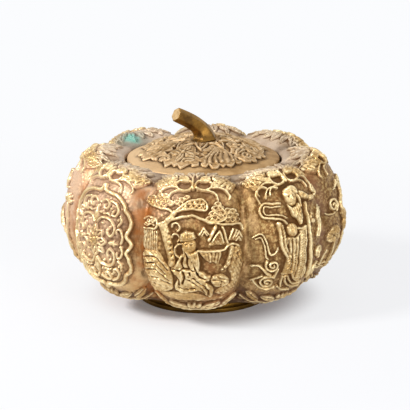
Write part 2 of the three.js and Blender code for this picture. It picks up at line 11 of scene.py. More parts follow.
import bpy
import numpy as np
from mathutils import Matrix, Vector


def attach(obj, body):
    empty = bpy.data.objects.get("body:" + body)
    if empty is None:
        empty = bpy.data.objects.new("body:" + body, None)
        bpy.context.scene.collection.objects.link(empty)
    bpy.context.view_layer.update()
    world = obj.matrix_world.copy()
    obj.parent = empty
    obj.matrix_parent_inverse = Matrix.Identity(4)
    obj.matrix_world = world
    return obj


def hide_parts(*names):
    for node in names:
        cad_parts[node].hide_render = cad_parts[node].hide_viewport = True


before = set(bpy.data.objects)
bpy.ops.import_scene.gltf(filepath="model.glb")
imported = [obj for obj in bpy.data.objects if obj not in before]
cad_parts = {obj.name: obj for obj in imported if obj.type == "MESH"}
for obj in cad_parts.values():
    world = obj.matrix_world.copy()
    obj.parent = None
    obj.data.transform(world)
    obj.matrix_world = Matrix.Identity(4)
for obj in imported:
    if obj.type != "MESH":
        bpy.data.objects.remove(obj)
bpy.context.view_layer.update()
MM = 0.001

# %% [markdown]
# ## The camera
# The lid, the mouth and the foot are circles, so the shape of their ellipses in the picture gives
# the height of the camera. A long lens stands well back from the box. The lens is worked out from
# the width of the view at the box, and two small shifts put the box where the picture has it.

# %% Set up the camera
IMAGE_SIDE = 410
TARGET_PIXEL = (203.3, 221.8)
TARGET_HEIGHT, VIEW_WIDTH, CAMERA_DISTANCE = 26.6 * MM, 147.5 * MM, 650 * MM
TURN_DEGREES, RISE_DEGREES = 4.2, 16.4
SENSOR_WIDTH, NEAREST, FARTHEST = 36, 0.01, 50
turn, rise = math.radians(TURN_DEGREES), math.radians(RISE_DEGREES)
target = Vector((0, 0, TARGET_HEIGHT))
backwards = Vector((math.sin(turn) * math.cos(rise), -math.cos(turn) * math.cos(rise), math.sin(rise)))

camera_data = bpy.data.cameras.new("view")
camera = bpy.data.objects.new("view", camera_data)
bpy.context.scene.collection.objects.link(camera)
camera.location = target + backwards * CAMERA_DISTANCE
camera.rotation_euler = backwards.to_track_quat("Z", "Y").to_euler()
camera_data.sensor_width = SENSOR_WIDTH
camera_data.lens = SENSOR_WIDTH * CAMERA_DISTANCE / VIEW_WIDTH
camera_data.shift_x = (IMAGE_SIDE / 2 - TARGET_PIXEL[0]) / IMAGE_SIDE
camera_data.shift_y = (TARGET_PIXEL[1] - IMAGE_SIDE / 2) / IMAGE_SIDE
camera_data.clip_start, camera_data.clip_end = NEAREST, FARTHEST
bpy.context.scene.camera = camera
bpy.context.scene.view_settings.view_transform = "Standard"
print("lens:", round(camera_data.lens, 1), "mm")

# %% [markdown]
# ## Shader maths in Python
# A finish is easier to read as a formula than as a chain of nodes. `Wire` wraps one output socket,
# and its operators add Math nodes, so `1 - mask` works. `Finish` holds a material, and its method
# `node` makes any node: it sets the settings first, and then the values or links of the sockets.

# %% Wrap sockets and materials
class Wire:
    """One output socket of a finish, for use in expressions."""

    def __init__(self, finish, socket):
        self.finish, self.socket = finish, socket

    def math(self, operation, *values, clamp=False):
        settings = {"operation": operation, "use_clamp": clamp}
        return self.finish.node("ShaderNodeMath", settings, dict(enumerate(values)))

    def __add__(self, other):
        return self.math("ADD", self, other)

    def __sub__(self, other):
        return self.math("SUBTRACT", self, other)

    def __rsub__(self, other):
        return self.math("SUBTRACT", other, self)

    def __mul__(self, other):
        return self.math("MULTIPLY", self, other)

    __radd__, __rmul__ = __add__, __mul__

    def clipped(self):
        return self.math("ADD", self, 0, clamp=True)

    def rising(self, low, high):
        """0 below low, 1 above high, and a smooth step between them."""
        values = {"Value": self, "From Min": low, "From Max": high}
        return self.finish.node("ShaderNodeMapRange", {"interpolation_type": "SMOOTHSTEP"}, values)


class Finish:
    """A material, or the world, whose nodes are made one by one."""

    def __init__(self, owner):
        owner.use_nodes = True
        self.owner, self.nodes = owner, owner.node_tree.nodes
        self.links = owner.node_tree.links
        self.nodes.clear()

    def node(self, kind, settings=None, inputs=None, output=0):
        made = self.nodes.new(kind)
        for name, value in (settings or {}).items():
            setattr(made, name, value)
        for name, value in (inputs or {}).items():
            if isinstance(value, Wire):
                self.links.new(value.socket, made.inputs[name])
            else:
                made.inputs[name].default_value = value
        return Wire(self, made.outputs[output])

    def mix(self, share, low, high):
        settings = {"data_type": "RGBA", "clamp_factor": True}
        return self.node("ShaderNodeMix", settings, {0: share, 6: low, 7: high}, output=2)

    def coats(self, colour, *coats):
        """A colour under thin coats, each given by its share and its tone."""
        for share, tone in coats:
            colour = self.mix(share, colour, tone)
        return colour

    def place(self):
        return self.node("ShaderNodeTexCoord", output="Object")

    def noise(self, grain, detail=3, rough=0.55, stretch=None):
        """Noise from 0 to 1 with lumps about grain millimetres across."""
        where = self.place()
        if stretch:
            where = self.node("ShaderNodeVectorMath", {"operation": "MULTIPLY"}, {0: where, 1: stretch})
        values = {"Vector": where, "Scale": 1 / (grain * MM), "Detail": detail, "Roughness": rough}
        return self.node("ShaderNodeTexNoise", None, values)

    def layer(self, name):
        """A number that the mesh carries at each of its points."""
        return self.node("ShaderNodeAttribute", {"attribute_name": name}, output="Fac")

    def bump(self, height, depth):
        values = {"Height": height, "Distance": depth * MM, "Strength": 1.0}
        return self.node("ShaderNodeBump", None, values)

    def close(self, shader, output="ShaderNodeOutputMaterial"):
        self.links.new(shader.socket, self.nodes.new(output).inputs["Surface"])
        return self.owner


def shade(red, green, blue):
    """A colour as a screen shows it, from 0 to 255, as linear light for a shader."""
    linear = [(part / 255 / 12.92) if part < 10.3 else ((part / 255 + 0.055) / 1.055) ** 2.4
              for part in (red, green, blue)]
    return (*linear, 1)


print("white is", shade(255, 255, 255))

# %% [markdown]
# ## A white studio
# The box stands on a white table under soft light. The floor is a real surface that takes the
# shadow of the box. Farther away it turns into an even white, but only for what the camera, or a
# shiny surface, sees, so no light is added for it. The world does the same above the floor.

# %% Floor and world
def seen(finish):
    """1 for rays that show a thing to the camera, directly or in a reflection."""
    rays = [finish.node("ShaderNodeLightPath", output=name)
            for name in ("Is Camera Ray", "Is Glossy Ray", "Is Transmission Ray")]
    return (rays[0] + rays[1] + rays[2]).clipped()


FLOOR_SIDE = 14
half = FLOOR_SIDE / 2
floor_corners = [(-half, -half, 0), (half, -half, 0), (half, half, 0), (-half, half, 0)]
floor_mesh = bpy.data.meshes.new("floor")
floor_mesh.from_pydata(floor_corners, [], [(0, 1, 2, 3)])
floor = bpy.data.objects.new("floor", floor_mesh)
bpy.context.scene.collection.objects.link(floor)

EVEN_WHITE = shade(251, 252, 254)
SHADOW_SHARE, RING_SHARE, FAR_SHARE = 0.12, 0.68, 0.2
RING_REACH, FAR_REACH = (0.027, 0.046), (0.07, 0.25)
table = Finish(bpy.data.materials.new("white_table"))
away = table.node("ShaderNodeVectorMath", {"operation": "LENGTH"}, {0: table.place()}, output="Value")
matt = table.node("ShaderNodeBsdfDiffuse", None, {"Color": shade(244, 243, 246)})
even = table.node("ShaderNodeEmission", None, {"Color": EVEN_WHITE, "Strength": 1.0})
evenness = SHADOW_SHARE + RING_SHARE * away.rising(*RING_REACH) + FAR_SHARE * away.rising(*FAR_REACH)
table_top = table.node("ShaderNodeMixShader", None, {0: seen(table) * evenness, 1: matt, 2: even})
floor_mesh.materials.append(table.close(table_top))

WORLD_LIGHT = 0.26
world = bpy.data.worlds.new("white_room")
bpy.context.scene.world = world
room = Finish(world)
dim = room.node("ShaderNodeBackground", None, {"Color": shade(250, 250, 255), "Strength": WORLD_LIGHT})
white = room.node("ShaderNodeBackground", None, {"Color": EVEN_WHITE, "Strength": 1.0})
shown = room.node("ShaderNodeMixShader", None, {0: seen(room), 1: dim, 2: white})
room.close(shown, "ShaderNodeOutputWorld")
print("floor:", FLOOR_SIDE, "m a side, world light", WORLD_LIGHT)

# %% [markdown]
# ## Soft lamps
# The main light is a window at the upper left. A ceiling and a wall fill the shadows. Each is a
# square area lamp, whose size makes its shadows soft, and all are weak enough that a colour renders
# about as it is written.

# %% Hang the lamps
LAMPS = {  # place in metres, side in metres, power in watts
    "window": ((-0.62, -0.38, 0.6), 0.22, 7.2),
    "ceiling": ((0.1, 0.15, 0.95), 0.8, 2.4),
    "wall": ((0.6, -0.75, 0.3), 0.5, 3.2)}
for name, (place, side, power) in LAMPS.items():
    light = bpy.data.lights.new(name, "AREA")
    light.shape, light.size, light.energy = "SQUARE", side, power
    lamp = bpy.data.objects.new(name, light)
    bpy.context.scene.collection.objects.link(lamp)
    lamp.location = place
    lamp.rotation_euler = (Vector(place) - target).to_track_quat("Z", "Y").to_euler()

# %% [markdown]
# ## The skin of the bowl
# Seen from the side, the bowl is a few joined quarter ellipses: a full underside, a shoulder that
# leans in, and a lip that rolls into the mouth. Turned about the axis they give a smooth pot, and
# eight valleys are sunk into that pot to part the lobes. The same formula made the CAD solid, so
# the fine skin lies exactly on it.

# %% Sizes of the bowl, in millimetres
LOBES = 8
BELLY_RADIUS, BELLY_HEIGHT = 50, 28.6
SHOULDER_RADIUS, SHOULDER_HEIGHT = 36, 53.8
MOUTH_RADIUS, MOUTH_HEIGHT = 27.9, 49.6
UNDERSIDE_RADIUS, BOWL_BOTTOM, FLOOR_HOLE_RADIUS = 25, 3.4, 18
BOWL_WALL, NECK_LENGTH = 2.6, 3
VALLEY_DEPTH, VALLEY_SHARPNESS, VALLEY_ROUNDING, VALLEY_RUNOUT = 5, 3, 0.05, 12
LOWER_RADII = (BELLY_RADIUS - UNDERSIDE_RADIUS, BELLY_HEIGHT - BOWL_BOTTOM)
UPPER_RADII = (BELLY_RADIUS - SHOULDER_RADIUS, SHOULDER_HEIGHT - BELLY_HEIGHT)
LIP_RADII = (SHOULDER_RADIUS - MOUTH_RADIUS, SHOULDER_HEIGHT - MOUTH_HEIGHT)
print("bowl:", 2 * BELLY_RADIUS, "mm across, mouth", 2 * MOUTH_RADIUS, "mm")

# %% Section of the bowl
def arc(centre, radii, start, end, steps=300):
    """Points of an elliptical arc, as (radius, height)."""
    angle = np.radians(np.linspace(start, end, steps))
    return np.stack([centre[0] + radii[0] * np.cos(angle), centre[1] + radii[1] * np.sin(angle)], 1)


def spaced(line, pitch):
    """The same line with evenly spaced points, and how far along it each one is."""
    line = np.asarray(line, float)
    length = np.concatenate([[0], np.cumsum(np.hypot(*np.diff(line, axis=0).T))])
    places = np.linspace(0, length[-1], max(2, round(length[-1] / pitch) + 1))
    return np.stack([np.interp(places, length, line[:, axis]) for axis in (0, 1)], 1), places


def smooth(value, low, high):
    """0 below low, 1 above high, and a smooth step between them."""
    part = np.clip((value - low) / (high - low), 0, 1)
    return part * part * (3 - 2 * part)


def band(value, bottom, top):
    """1 between two soft borders, each given by where it starts and ends."""
    return smooth(value, *bottom) * (1 - smooth(value, *top))


def inside(radii):
    """The radii of an arc that lies one wall farther in."""
    return [radius - BOWL_WALL for radius in radii]


lower_centre, upper_centre = (UNDERSIDE_RADIUS, BELLY_HEIGHT), (SHOULDER_RADIUS, BELLY_HEIGHT)
neck_bottom = MOUTH_HEIGHT - NECK_LENGTH
neck_radii = (LIP_RADII[0], SHOULDER_HEIGHT - BOWL_WALL - neck_bottom)
outside_line = np.vstack([
    arc(lower_centre, LOWER_RADII, -90, 0),
    arc(upper_centre, UPPER_RADII, 0, 90)[1:],
    arc((SHOULDER_RADIUS, MOUTH_HEIGHT), LIP_RADII, 90, 180)[1:]])
inside_line = np.vstack([
    [(MOUTH_RADIUS, MOUTH_HEIGHT)],
    arc((SHOULDER_RADIUS, neck_bottom), neck_radii, 180, 90),
    arc(upper_centre, inside(UPPER_RADII), 90, 0)[1:],
    arc(lower_centre, inside(LOWER_RADII), 0, -90)[1:],
    [(FLOOR_HOLE_RADIUS, BOWL_BOTTOM + BOWL_WALL), (FLOOR_HOLE_RADIUS, BOWL_BOTTOM)],
    [(UNDERSIDE_RADIUS, BOWL_BOTTOM)]])
FINE_PITCH, COARSE_PITCH = 0.25, 1.3
outside_rows, outside_along = spaced(outside_line, FINE_PITCH)
outside_along -= outside_along[np.argmax(outside_rows[:, 0])]
inside_rows = spaced(inside_line, COARSE_PITCH)[0][1:-1]
print("rows outside:", len(outside_rows), "inside:", len(inside_rows))
print("skin from", round(outside_along[0], 1), "to", round(outside_along[-1], 1), "mm along a crest")

# %% The valleys between the lobes
TINY = 1e-9


def valley(angle):
    """0 on the crest of a lobe, about 1 between two lobes."""
    part = angle * LOBES / (2 * np.pi)
    from_crest = np.abs(part - np.round(part)) * 2
    return np.maximum(0, 1 - np.hypot(1 - from_crest, VALLEY_ROUNDING)) ** VALLEY_SHARPNESS


def bowl_points(rows, angle):
    """The skin of the bowl at each row of its section and each angle from the front."""
    radius, height = rows[:, :1], rows[:, 1:]
    upper = height > BELLY_HEIGHT
    end = np.where(upper, MOUTH_RADIUS, UNDERSIDE_RADIUS)
    centre = np.where(upper, SHOULDER_RADIUS, UNDERSIDE_RADIUS)
    radii = [np.where(upper, high, low) for high, low in zip(UPPER_RADII, LOWER_RADII)]
    outwards, upwards = (radius - centre) / radii[0] ** 2, (height - BELLY_HEIGHT) / radii[1] ** 2
    on_lip = upper & (radius < SHOULDER_RADIUS)
    outwards, upwards = np.where(on_lip, 0, outwards), np.where(on_lip, 1, upwards)
    length = np.maximum(np.hypot(outwards, upwards), TINY)
    depth = VALLEY_DEPTH * valley(angle)[None] * smooth(radius, end, end + VALLEY_RUNOUT)
    far = radius - depth * outwards / length
    return np.stack([far * np.sin(angle), -far * np.cos(angle), height - depth * upwards / length], -1)


LOBE_COLUMNS = 160
bowl_columns = LOBES * LOBE_COLUMNS
bowl_angle = (np.arange(bowl_columns) - LOBE_COLUMNS // 2) * 2 * np.pi / bowl_columns
bowl_rows = np.vstack([outside_rows, inside_rows])
bowl_skin = bowl_points(bowl_rows, bowl_angle)
print("bowl skin:", bowl_skin.shape, "widest", round(np.abs(bowl_skin[..., 0]).max(), 2), "mm")

# %% [markdown]
# ## A carver's strokes
# The maker of the mould carved the relief with a few kinds of stroke: rounded lines, cut lines,
# flat pads with soft shoulders, and small domes. A sculptor could do the same here by hand, but a
# script needs strokes that repeat exactly. `Carving` keeps a height over each point of one lobe:
# across from the lobe's middle and along its crest from the widest ring, both in millimetres.

# %% Lines
def smooth_path(points, closed=False, steps=7):
    """Points of a smooth curve through the given points."""
    points = np.asarray(points, float)
    if len(points) < 3:
        return points
    if closed:
        ring = np.vstack([points[-1], points, points[:2]])
    else:
        ring = np.vstack([2 * points[0] - points[1], points, 2 * points[-1] - points[-2]])
    share = np.linspace(0, 1, steps, endpoint=False)[:, None]
    pieces = []
    for before, start, end, after in zip(ring[:-3], ring[1:-2], ring[2:-1], ring[3:]):
        bend = 2 * before - 5 * start + 4 * end - after + share * (3 * start - before - 3 * end + after)
        pieces.append(start + share / 2 * (end - before + share * bend))
    curve = np.vstack(pieces)
    return np.vstack([curve, curve[:1] if closed else points[-1:]])


def spiral(centre, radii, turns, start_degrees, steps=26):
    """Points of a curl that winds from its outer to its inner radius."""
    angle = np.radians(start_degrees) + 2 * np.pi * turns * np.linspace(0, 1, steps)
    radius = np.linspace(*radii, steps)
    return np.stack([centre[0] + radius * np.cos(angle), centre[1] + radius * np.sin(angle)], 1)


def mirrored(points):
    return [(-across, along) for across, along in points]


def unevenness(points, size, waves, seed):
    """Slow seeded waves from about -1 to 1."""
    chance = np.random.default_rng(seed)
    total = np.zeros(points.shape[:-1])
    for _ in range(waves):
        direction = chance.normal(size=3)
        direction *= 2 * np.pi / (size * chance.uniform(0.7, 1.6) * np.linalg.norm(direction))
        total += np.sin(points @ direction + chance.uniform(0, 2 * np.pi))
    return total / np.sqrt(waves / 2) / 2


print("a path of 3 points becomes", len(smooth_path([(0, 0), (1, 1), (2, 0)])), "points")

# %% Strokes
STROKE_BREADTH, STROKE_ROUND, LEAST_WIDTH, SCORE_EDGE = 1.12, 0.6, 1e-3, 0.5


class Carving:
    """Heights in millimetres over the points (across, along) of one lobe."""

    def __init__(self, across, along):
        self.across, self.along = across, along
        self.height = np.zeros_like(across)

    def near(self, path, reach):
        low, high = path.min(0) - reach, path.max(0) + reach
        return np.nonzero((self.across > low[0]) & (self.across < high[0])
                          & (self.along > low[1]) & (self.along < high[1]))

    def distance(self, path, spot):
        """How far the points at spot are from a path, and the share of it where they are nearest."""
        x, y = self.across[spot], self.along[spot]
        best, share = np.full(x.shape, np.inf), np.zeros_like(x)
        for index, (start, end) in enumerate(zip(path[:-1], path[1:])):
            run = end - start
            part = ((x - start[0]) * run[0] + (y - start[1]) * run[1]) / max(run @ run, TINY)
            part = np.clip(part, 0, 1)
            gap = np.hypot(x - start[0] - part * run[0], y - start[1] - part * run[1])
            closer = gap < best
            best[closer] = gap[closer]
            share[closer] = (index + part[closer]) / (len(path) - 1)
        return best, share

    def raise_to(self, spot, swell, on_top=False):
        if on_top:
            self.height[spot] += swell
        else:
            self.height[spot] = np.maximum(self.height[spot], swell)

    def across_line(self, points, width, ends, closed=False, bend=True):
        """The points near a line, and how far each is from it in half widths."""
        path = smooth_path(points, closed) if bend else np.asarray(points, float)
        spot = self.near(path, width)
        gap, share = self.distance(path, spot)
        return spot, gap / (width / 2 * (ends[0] + (ends[1] - ends[0]) * share) + LEAST_WIDTH)

    def bead(self, points, width, height, ends=(1, 1), closed=False, on_top=False, bend=True):
        """A raised line with a round back, whose width changes by a factor from end to end."""
        spot, gap = self.across_line(points, width * STROKE_BREADTH, ends, closed, bend)
        self.raise_to(spot, height * np.clip(1 - gap ** 2, 0, 1) ** STROKE_ROUND, on_top)

    def cut(self, points, width, depth, ends=(1, 1)):
        """A line cut into what is there."""
        spot, gap = self.across_line(points, width, ends)
        self.height[spot] -= depth * np.clip(1 - gap, 0, 1)

    def within(self, points, bend=True):
        """The points inside a closed outline, and how far each is from it."""
        path = smooth_path(points, True) if bend else np.vstack([points, points[:1]])
        spot = self.near(path, 0)
        x, y = self.across[spot], self.along[spot]
        hits = np.zeros(x.shape, bool)
        for start, end in zip(path[:-1], path[1:]):
            rises = end[1] - start[1]
            meets = start[0] + (y - start[1]) * (end[0] - start[0]) / (rises if rises else TINY)
            hits ^= ((start[1] > y) != (end[1] > y)) & (x < meets)
        spot = spot[0][hits], spot[1][hits]
        return spot, self.distance(path, spot)[0]

    def pad(self, points, height, rounding, bend=True):
        """A raised area with soft shoulders inside a closed outline."""
        spot, gap = self.within(points, bend)
        shoulder = 1 - np.clip(gap / rounding, 0, 1)
        self.raise_to(spot, height * np.sqrt(1 - shoulder ** 2))

    def score(self, points, degrees, pitch, depth, bend=True):
        """Parallel cuts inside a closed outline."""
        spot, gap = self.within(points, bend)
        lean = np.radians(degrees)
        way = (self.across[spot] * np.cos(lean) + self.along[spot] * np.sin(lean)) / pitch
        ridge = np.abs(2 * (way - np.floor(way)) - 1)
        self.height[spot] -= depth * np.clip(gap / SCORE_EDGE, 0, 1) * ridge

    def dome(self, centre, radii, height, degrees=0, on_top=False):
        """A raised ellipse, or a sunk one if its height is negative."""
        lean = np.radians(degrees)
        dx, dy = self.across - centre[0], self.along - centre[1]
        along = (dx * np.cos(lean) + dy * np.sin(lean)) / radii[0]
        aside = (dy * np.cos(lean) - dx * np.sin(lean)) / radii[1]
        spot = np.nonzero(along ** 2 + aside ** 2 < 1)
        swell = height * np.sqrt(1 - along[spot] ** 2 - aside[spot] ** 2)
        self.raise_to(spot, swell, on_top)


trial = Carving(*np.meshgrid(np.linspace(-2, 2, 41), np.linspace(-2, 2, 41)))
trial.bead([(-1, 0), (1, 0)], 1, 0.8)
print("a trial bead covers", np.count_nonzero(trial.height), "points, up to", trial.height.max(), "mm")

# %% [markdown]
# ## Ornaments on every lobe
# Each lobe carries a collar on its shoulder, with two heavy loops in the middle and a scalloped wing
# at each side, pointed leaves that spread over the lip, and a wreath of leaves above the foot. They
# are drawn once for the right half and mirrored about the lobe's middle.

# %% Collar
def on_both_sides(stroke, points, *sizes, **options):
    stroke(points, *sizes, **options)
    stroke(mirrored(points), *sizes, **options)


WING_EDGE = [(5.6, 23.9), (7.6, 24.3), (9.6, 23.9), (11.2, 22.9), (12.2, 21.2), (12.0, 20.2)]
WING = [(6.4, 24.2), (9.6, 24.0), (12.2, 22.6), (14.0, 24.4), (14.2, 27.4), (12.8, 30.0), (9.6, 31.0),
        (6.4, 30.4), (5.2, 28.6), (6.2, 26.4)]
LOOP = [(0.5, 24.4), (0.7, 26.2), (2.0, 27.0), (4.6, 26.8), (5.9, 25.6), (5.5, 23.9), (3.6, 22.9),
        (1.6, 23.2)]
LOOP_CAP = [(1.7, 26.3), (1.9, 28.3), (3.4, 29.3), (5.2, 28.6), (5.5, 26.6), (3.6, 26.0)]
WING_LEAVES = [(7.2, 25.6, 20, 1.7), (9.4, 26.2, 55, 1.9), (12.0, 25.6, 75, 1.8), (8.0, 28.3, 35, 1.9),
               (10.8, 28.6, 70, 2.0), (13.0, 28.0, 95, 1.6), (7.0, 30.4, 60, 1.6),
               (10.0, 30.6, 85, 1.5)]
COLLAR_HEM = [(1.4, 23.0), (4.0, 22.8), (6.4, 22.5), (7.8, 21.4), (8.4, 19.6)]
LEAF_OUTLINE = ((0, 0), (0.35, 1), (0.75, 0.7), (1, 0), (0.7, -0.8), (0.3, -0.9))
LEAF_VEIN = (0.1, 0.85)


def leaf_scrap(carving, root, length, lean, height, breadth=0.42):
    """A small pointed leaf with a cut vein, that lies from its root towards lean degrees."""
    way = length * np.array([math.cos(math.radians(lean)), math.sin(math.radians(lean))])
    aside = breadth * np.array([-way[1], way[0]])
    carving.pad([root + part * way + out * aside for part, out in LEAF_OUTLINE], height, 0.45)
    carving.cut([root + part * way for part in LEAF_VEIN], 0.65, 0.6)


def cloud_collar(carving):
    on_both_sides(carving.pad, WING, 0.6, 0.8)
    for side in (-1, 1):
        for across, along, lean, length in WING_LEAVES:
            angle = math.radians(lean)
            root = (side * (across - length * math.cos(angle)), along - length * math.sin(angle))
            leaf_scrap(carving, root, 2 * length, 90 - side * (90 - lean), 1.15)
        carving.dome((side * 3.3, 24.9), (2.3, 1.4), -0.7, on_top=True)
    on_both_sides(carving.bead, LOOP, 0.95, 1.25, closed=True)
    on_both_sides(carving.pad, LOOP_CAP, 1.45, 0.6)
    carving.bead([(-0.3, 23.6), (-0.5, 26.0), (-0.8, 28.6)], 1.2, 1.35, (1.1, 0.6))
    on_both_sides(carving.bead, WING_EDGE, 0.9, 1.1, (0.8, 0.7))
    on_both_sides(carving.bead, COLLAR_HEM, 0.9, 1.05, (1, 0.7))
    on_both_sides(carving.bead, [(6.3, 24.8), (7.4, 26.8), (5.9, 28.7)], 0.7, 1.2)


print("collar:", len(WING_LEAVES), "leaves on each wing")

# %% Leaves on the lip and wreath above the foot
WREATH_LEAVES = [
    [(1.2, -24.2), (3.0, -21.9), (6.2, -20.6), (9.0, -20.8), (7.4, -23.0), (4.6, -24.8), (2.4, -25.2)],
    [(8.0, -24.2), (9.8, -21.6), (12.4, -19.6), (15.0, -19.2), (13.9, -22.0), (11.2, -24.2),
     (9.2, -25.2)]]
WREATH_STEM = [(0, -26.6), (3.0, -26.8), (7.0, -25.6), (10.0, -26.6), (14.0, -24.8)]
LIP_LEAVES = [(0.8, 29.4, 80, 7.6), (3.6, 29.4, 60, 7.4), (6.8, 29.0, 40, 7.0), (10.0, 28.4, 24, 4.8),
              (5.6, 34.4, 62, 3.6)]
LIP_LEAF_HEIGHT, LIP_LEAF_BREADTH = 0.85, 0.2


def lip_leaves(carving):
    for across, along, lean, length in LIP_LEAVES:
        for side in (-1, 1):
            leaf_scrap(carving, (side * across, along), length, 90 - side * (90 - lean),
                       LIP_LEAF_HEIGHT, LIP_LEAF_BREADTH)


def leaf_wreath(carving):
    for leaf in WREATH_LEAVES:
        on_both_sides(carving.pad, leaf, 1.0, 0.8)
        on_both_sides(carving.cut, [leaf[0], leaf[3]], 0.9, 0.55)
    on_both_sides(carving.bead, WREATH_STEM, 1.0, 0.9)
    for across, lean in ((-1.5, 115), (1.5, 65), (0, 90)):
        carving.dome((across, -22.0), (1.9, 0.95), 1.2, lean)
    for across in np.arange(-12, 12.1, 3):
        carving.dome((across, -29.0), (1.2, 1.8), 0.7)


print("lip leaves:", 2 * len(LIP_LEAVES), "wreath leaves:", 2 * len(WREATH_LEAVES), "on each lobe")

# %% [markdown]
# ## A scholar under a pine
# The front lobe shows a bearded scholar who sits on the ground under a pine, with falling water and
# rocks at one side and hills at the other. It is a traditional scene, so its layout is kept. The
# face is a plain calm one.

# %% Pine
def pine_cap(carving, centre, size):
    """A cap of needles: a low scored dome under a bright rim."""
    carving.dome(centre, (size * 1.05, size * 0.85), 1.0)
    rim = [(centre[0] + size * math.cos(angle), centre[1] + 0.9 * size * math.sin(angle))
           for angle in np.radians((0, 45, 90, 135, 180))]
    for tip in rim[1:4]:
        carving.cut([centre, tip], 0.45, 0.45)
    carving.bead(rim, 0.42, 1.05)


PINE_CAPS = [
    (1.15, [(-17.4, 19.4), (-15.6, 18.6), (-13.7, 18.0), (-11.8, 17.7), (-9.9, 17.6), (-16.2, 20.6),
            (-14.4, 20.0), (-12.6, 19.6),
            (-10.7, 19.4), (-8.9, 19.2), (-11.6, 20.9), (-9.7, 20.6), (-7.6, 18.0)]),
    (0.95, [(-5.4, 18.4), (-3.8, 19.4), (-2.2, 20.2), (-4.2, 17.9), (-3.2, 17.1), (-1.5, 17.2),
            (0.2, 17.2), (1.9, 17.2), (3.4, 17.2),
            (-0.4, 18.4), (1.2, 18.5), (2.8, 18.5)]),
    (1.15, [(5.6, 13.0), (7.6, 13.0), (9.5, 13.3), (6.6, 14.7), (8.5, 14.9), (10.2, 15.0), (7.4, 16.5),
            (9.2, 16.6), (8.2, 18.0),
            (11.8, 12.6), (13.6, 12.5), (15.4, 12.4), (12.6, 14.2), (14.4, 14.0), (11.9, 15.8),
            (13.4, 15.6)])]
BOUGHS = [
    ([(-6.6, 14.8), (-8.4, 16.2), (-11.0, 16.5), (-14.0, 17.0), (-16.8, 18.3)], 0.9),
    ([(-6.2, 15.0), (-4.4, 16.8), (-2.4, 18.5), (0.2, 19.4)], 0.9),
    ([(-5.8, 15.4), (-3.0, 16.3), (0.0, 16.4), (3.6, 16.1), (4.8, 16.9), (4.5, 18.6), (3.0, 19.6),
      (0.4, 19.5)], 0.85),
    ([(-7.8, 12.4), (-5.0, 13.4), (-2.5, 14.0), (0.0, 14.1), (2.4, 13.4), (4.6, 12.4), (6.6, 11.7),
      (9.0, 11.5), (11.0, 11.3),
      (13.4, 11.2), (15.6, 11.4), (17.2, 10.8), (17.8, 9.4)], 1.05),
    ([(4.4, 13.0), (7.0, 12.2), (9.8, 12.5), (11.2, 13.8), (10.6, 15.6), (9.2, 17.2)], 0.7)]


def pine_tree(carving):
    for size, centres in PINE_CAPS:
        for centre in centres:
            pine_cap(carving, centre, size)
    trunk = [(-7.0, -2.4), (-7.5, 1.6), (-8.4, 5.4), (-9.6, 8.8), (-10.2, 10.6)]
    carving.bead(trunk, 3.0, 1.35, (0.85, 1.1))
    carving.bead([(-10.0, 10.6), (-8.4, 12.2), (-7.2, 13.6), (-6.2, 15.2)], 2.2, 1.4, (1, 0.8))
    carving.pad([(-12.0, 10.4), (-11.0, 11.8), (-8.8, 12.0), (-8.6, 10.4), (-10.2, 9.6)], 1.5, 0.5)
    for knot in ((-6.9, 0.4), (-7.3, 2.2), (-7.2, 4.0), (-7.9, 5.8), (-6.6, -1.2), (-8.2, 7.6)):
        carving.dome(knot, (0.7, 0.4), -0.55, 60, on_top=True)
    carving.cut([(-8.2, -1.6), (-8.7, 3.0), (-10.0, 7.4)], 0.6, 0.4)
    for bough, width in BOUGHS:
        carving.bead(bough, width, 1.15)
    for across, along in ((-5.6, 6.7), (-5.6, 10.2)):
        twig = [(across + 1.3 * math.cos(angle), along + 1.4 * math.sin(angle))
                for angle in np.radians(range(-60, 200, 40))]
        carving.bead(twig, 0.6, 1.0)


print("pine:", sum(len(centres) for _, centres in PINE_CAPS), "caps,", len(BOUGHS), "boughs")

# %% Water, rocks and hills
ROCK = [(-18.8, 0.4), (-15.0, 1.4), (-12.4, 1.7), (-11.0, 0.2), (-9.6, -1.8), (-8.0, -3.4),
        (-7.1, -6.2), (-6.7, -9.4), (-6.8, -12.2), (-8.4, -14.2), (-12.2, -16.4), (-15.0, -16.4),
        (-17.4, -12.0), (-18.8, -6.0)]
ROCK_CRACKS = [[(-18.4, -2.2), (-15.0, -0.9), (-12.6, -1.0), (-10.4, -3.0), (-8.4, -5.2)],
               [(-18.0, -4.6), (-14.6, -3.2), (-12.4, -3.8), (-9.4, -6.8)],
               [(-17.6, -7.6), (-13.6, -5.8), (-11.0, -7.0), (-8.0, -9.2)],
               [(-16.4, -10.2), (-12.4, -9.0), (-10.4, -9.4), (-7.8, -10.4)],
               [(-15.6, -13.0), (-12.0, -12.0), (-9.2, -13.2)]]
SLOPE = [(13.6, 3.0), (16.6, 3.0), (18.2, -2.0), (17.4, -8.0), (14.6, -13.4), (10.4, -16.6),
         (7.4, -14.6), (9.4, -12.0), (12.6, -10.8), (13.2, -7.6), (12.0, -4.4), (13.2, -1.0)]
BANK = [(-11.6, -16.2), (-6.4, -14.6), (0.0, -14.6), (3.4, -16.0), (6.2, -17.4), (10.4, -17.4),
        (8.0, -19.0), (0.0, -18.6), (-8.4, -18.6)]
BOULDER = [(5.9, -8.0), (7.2, -6.4), (9.4, -6.0), (11.2, -7.2), (12.5, -9.2), (11.6, -11.2),
           (9.0, -11.8), (6.8, -10.8)]


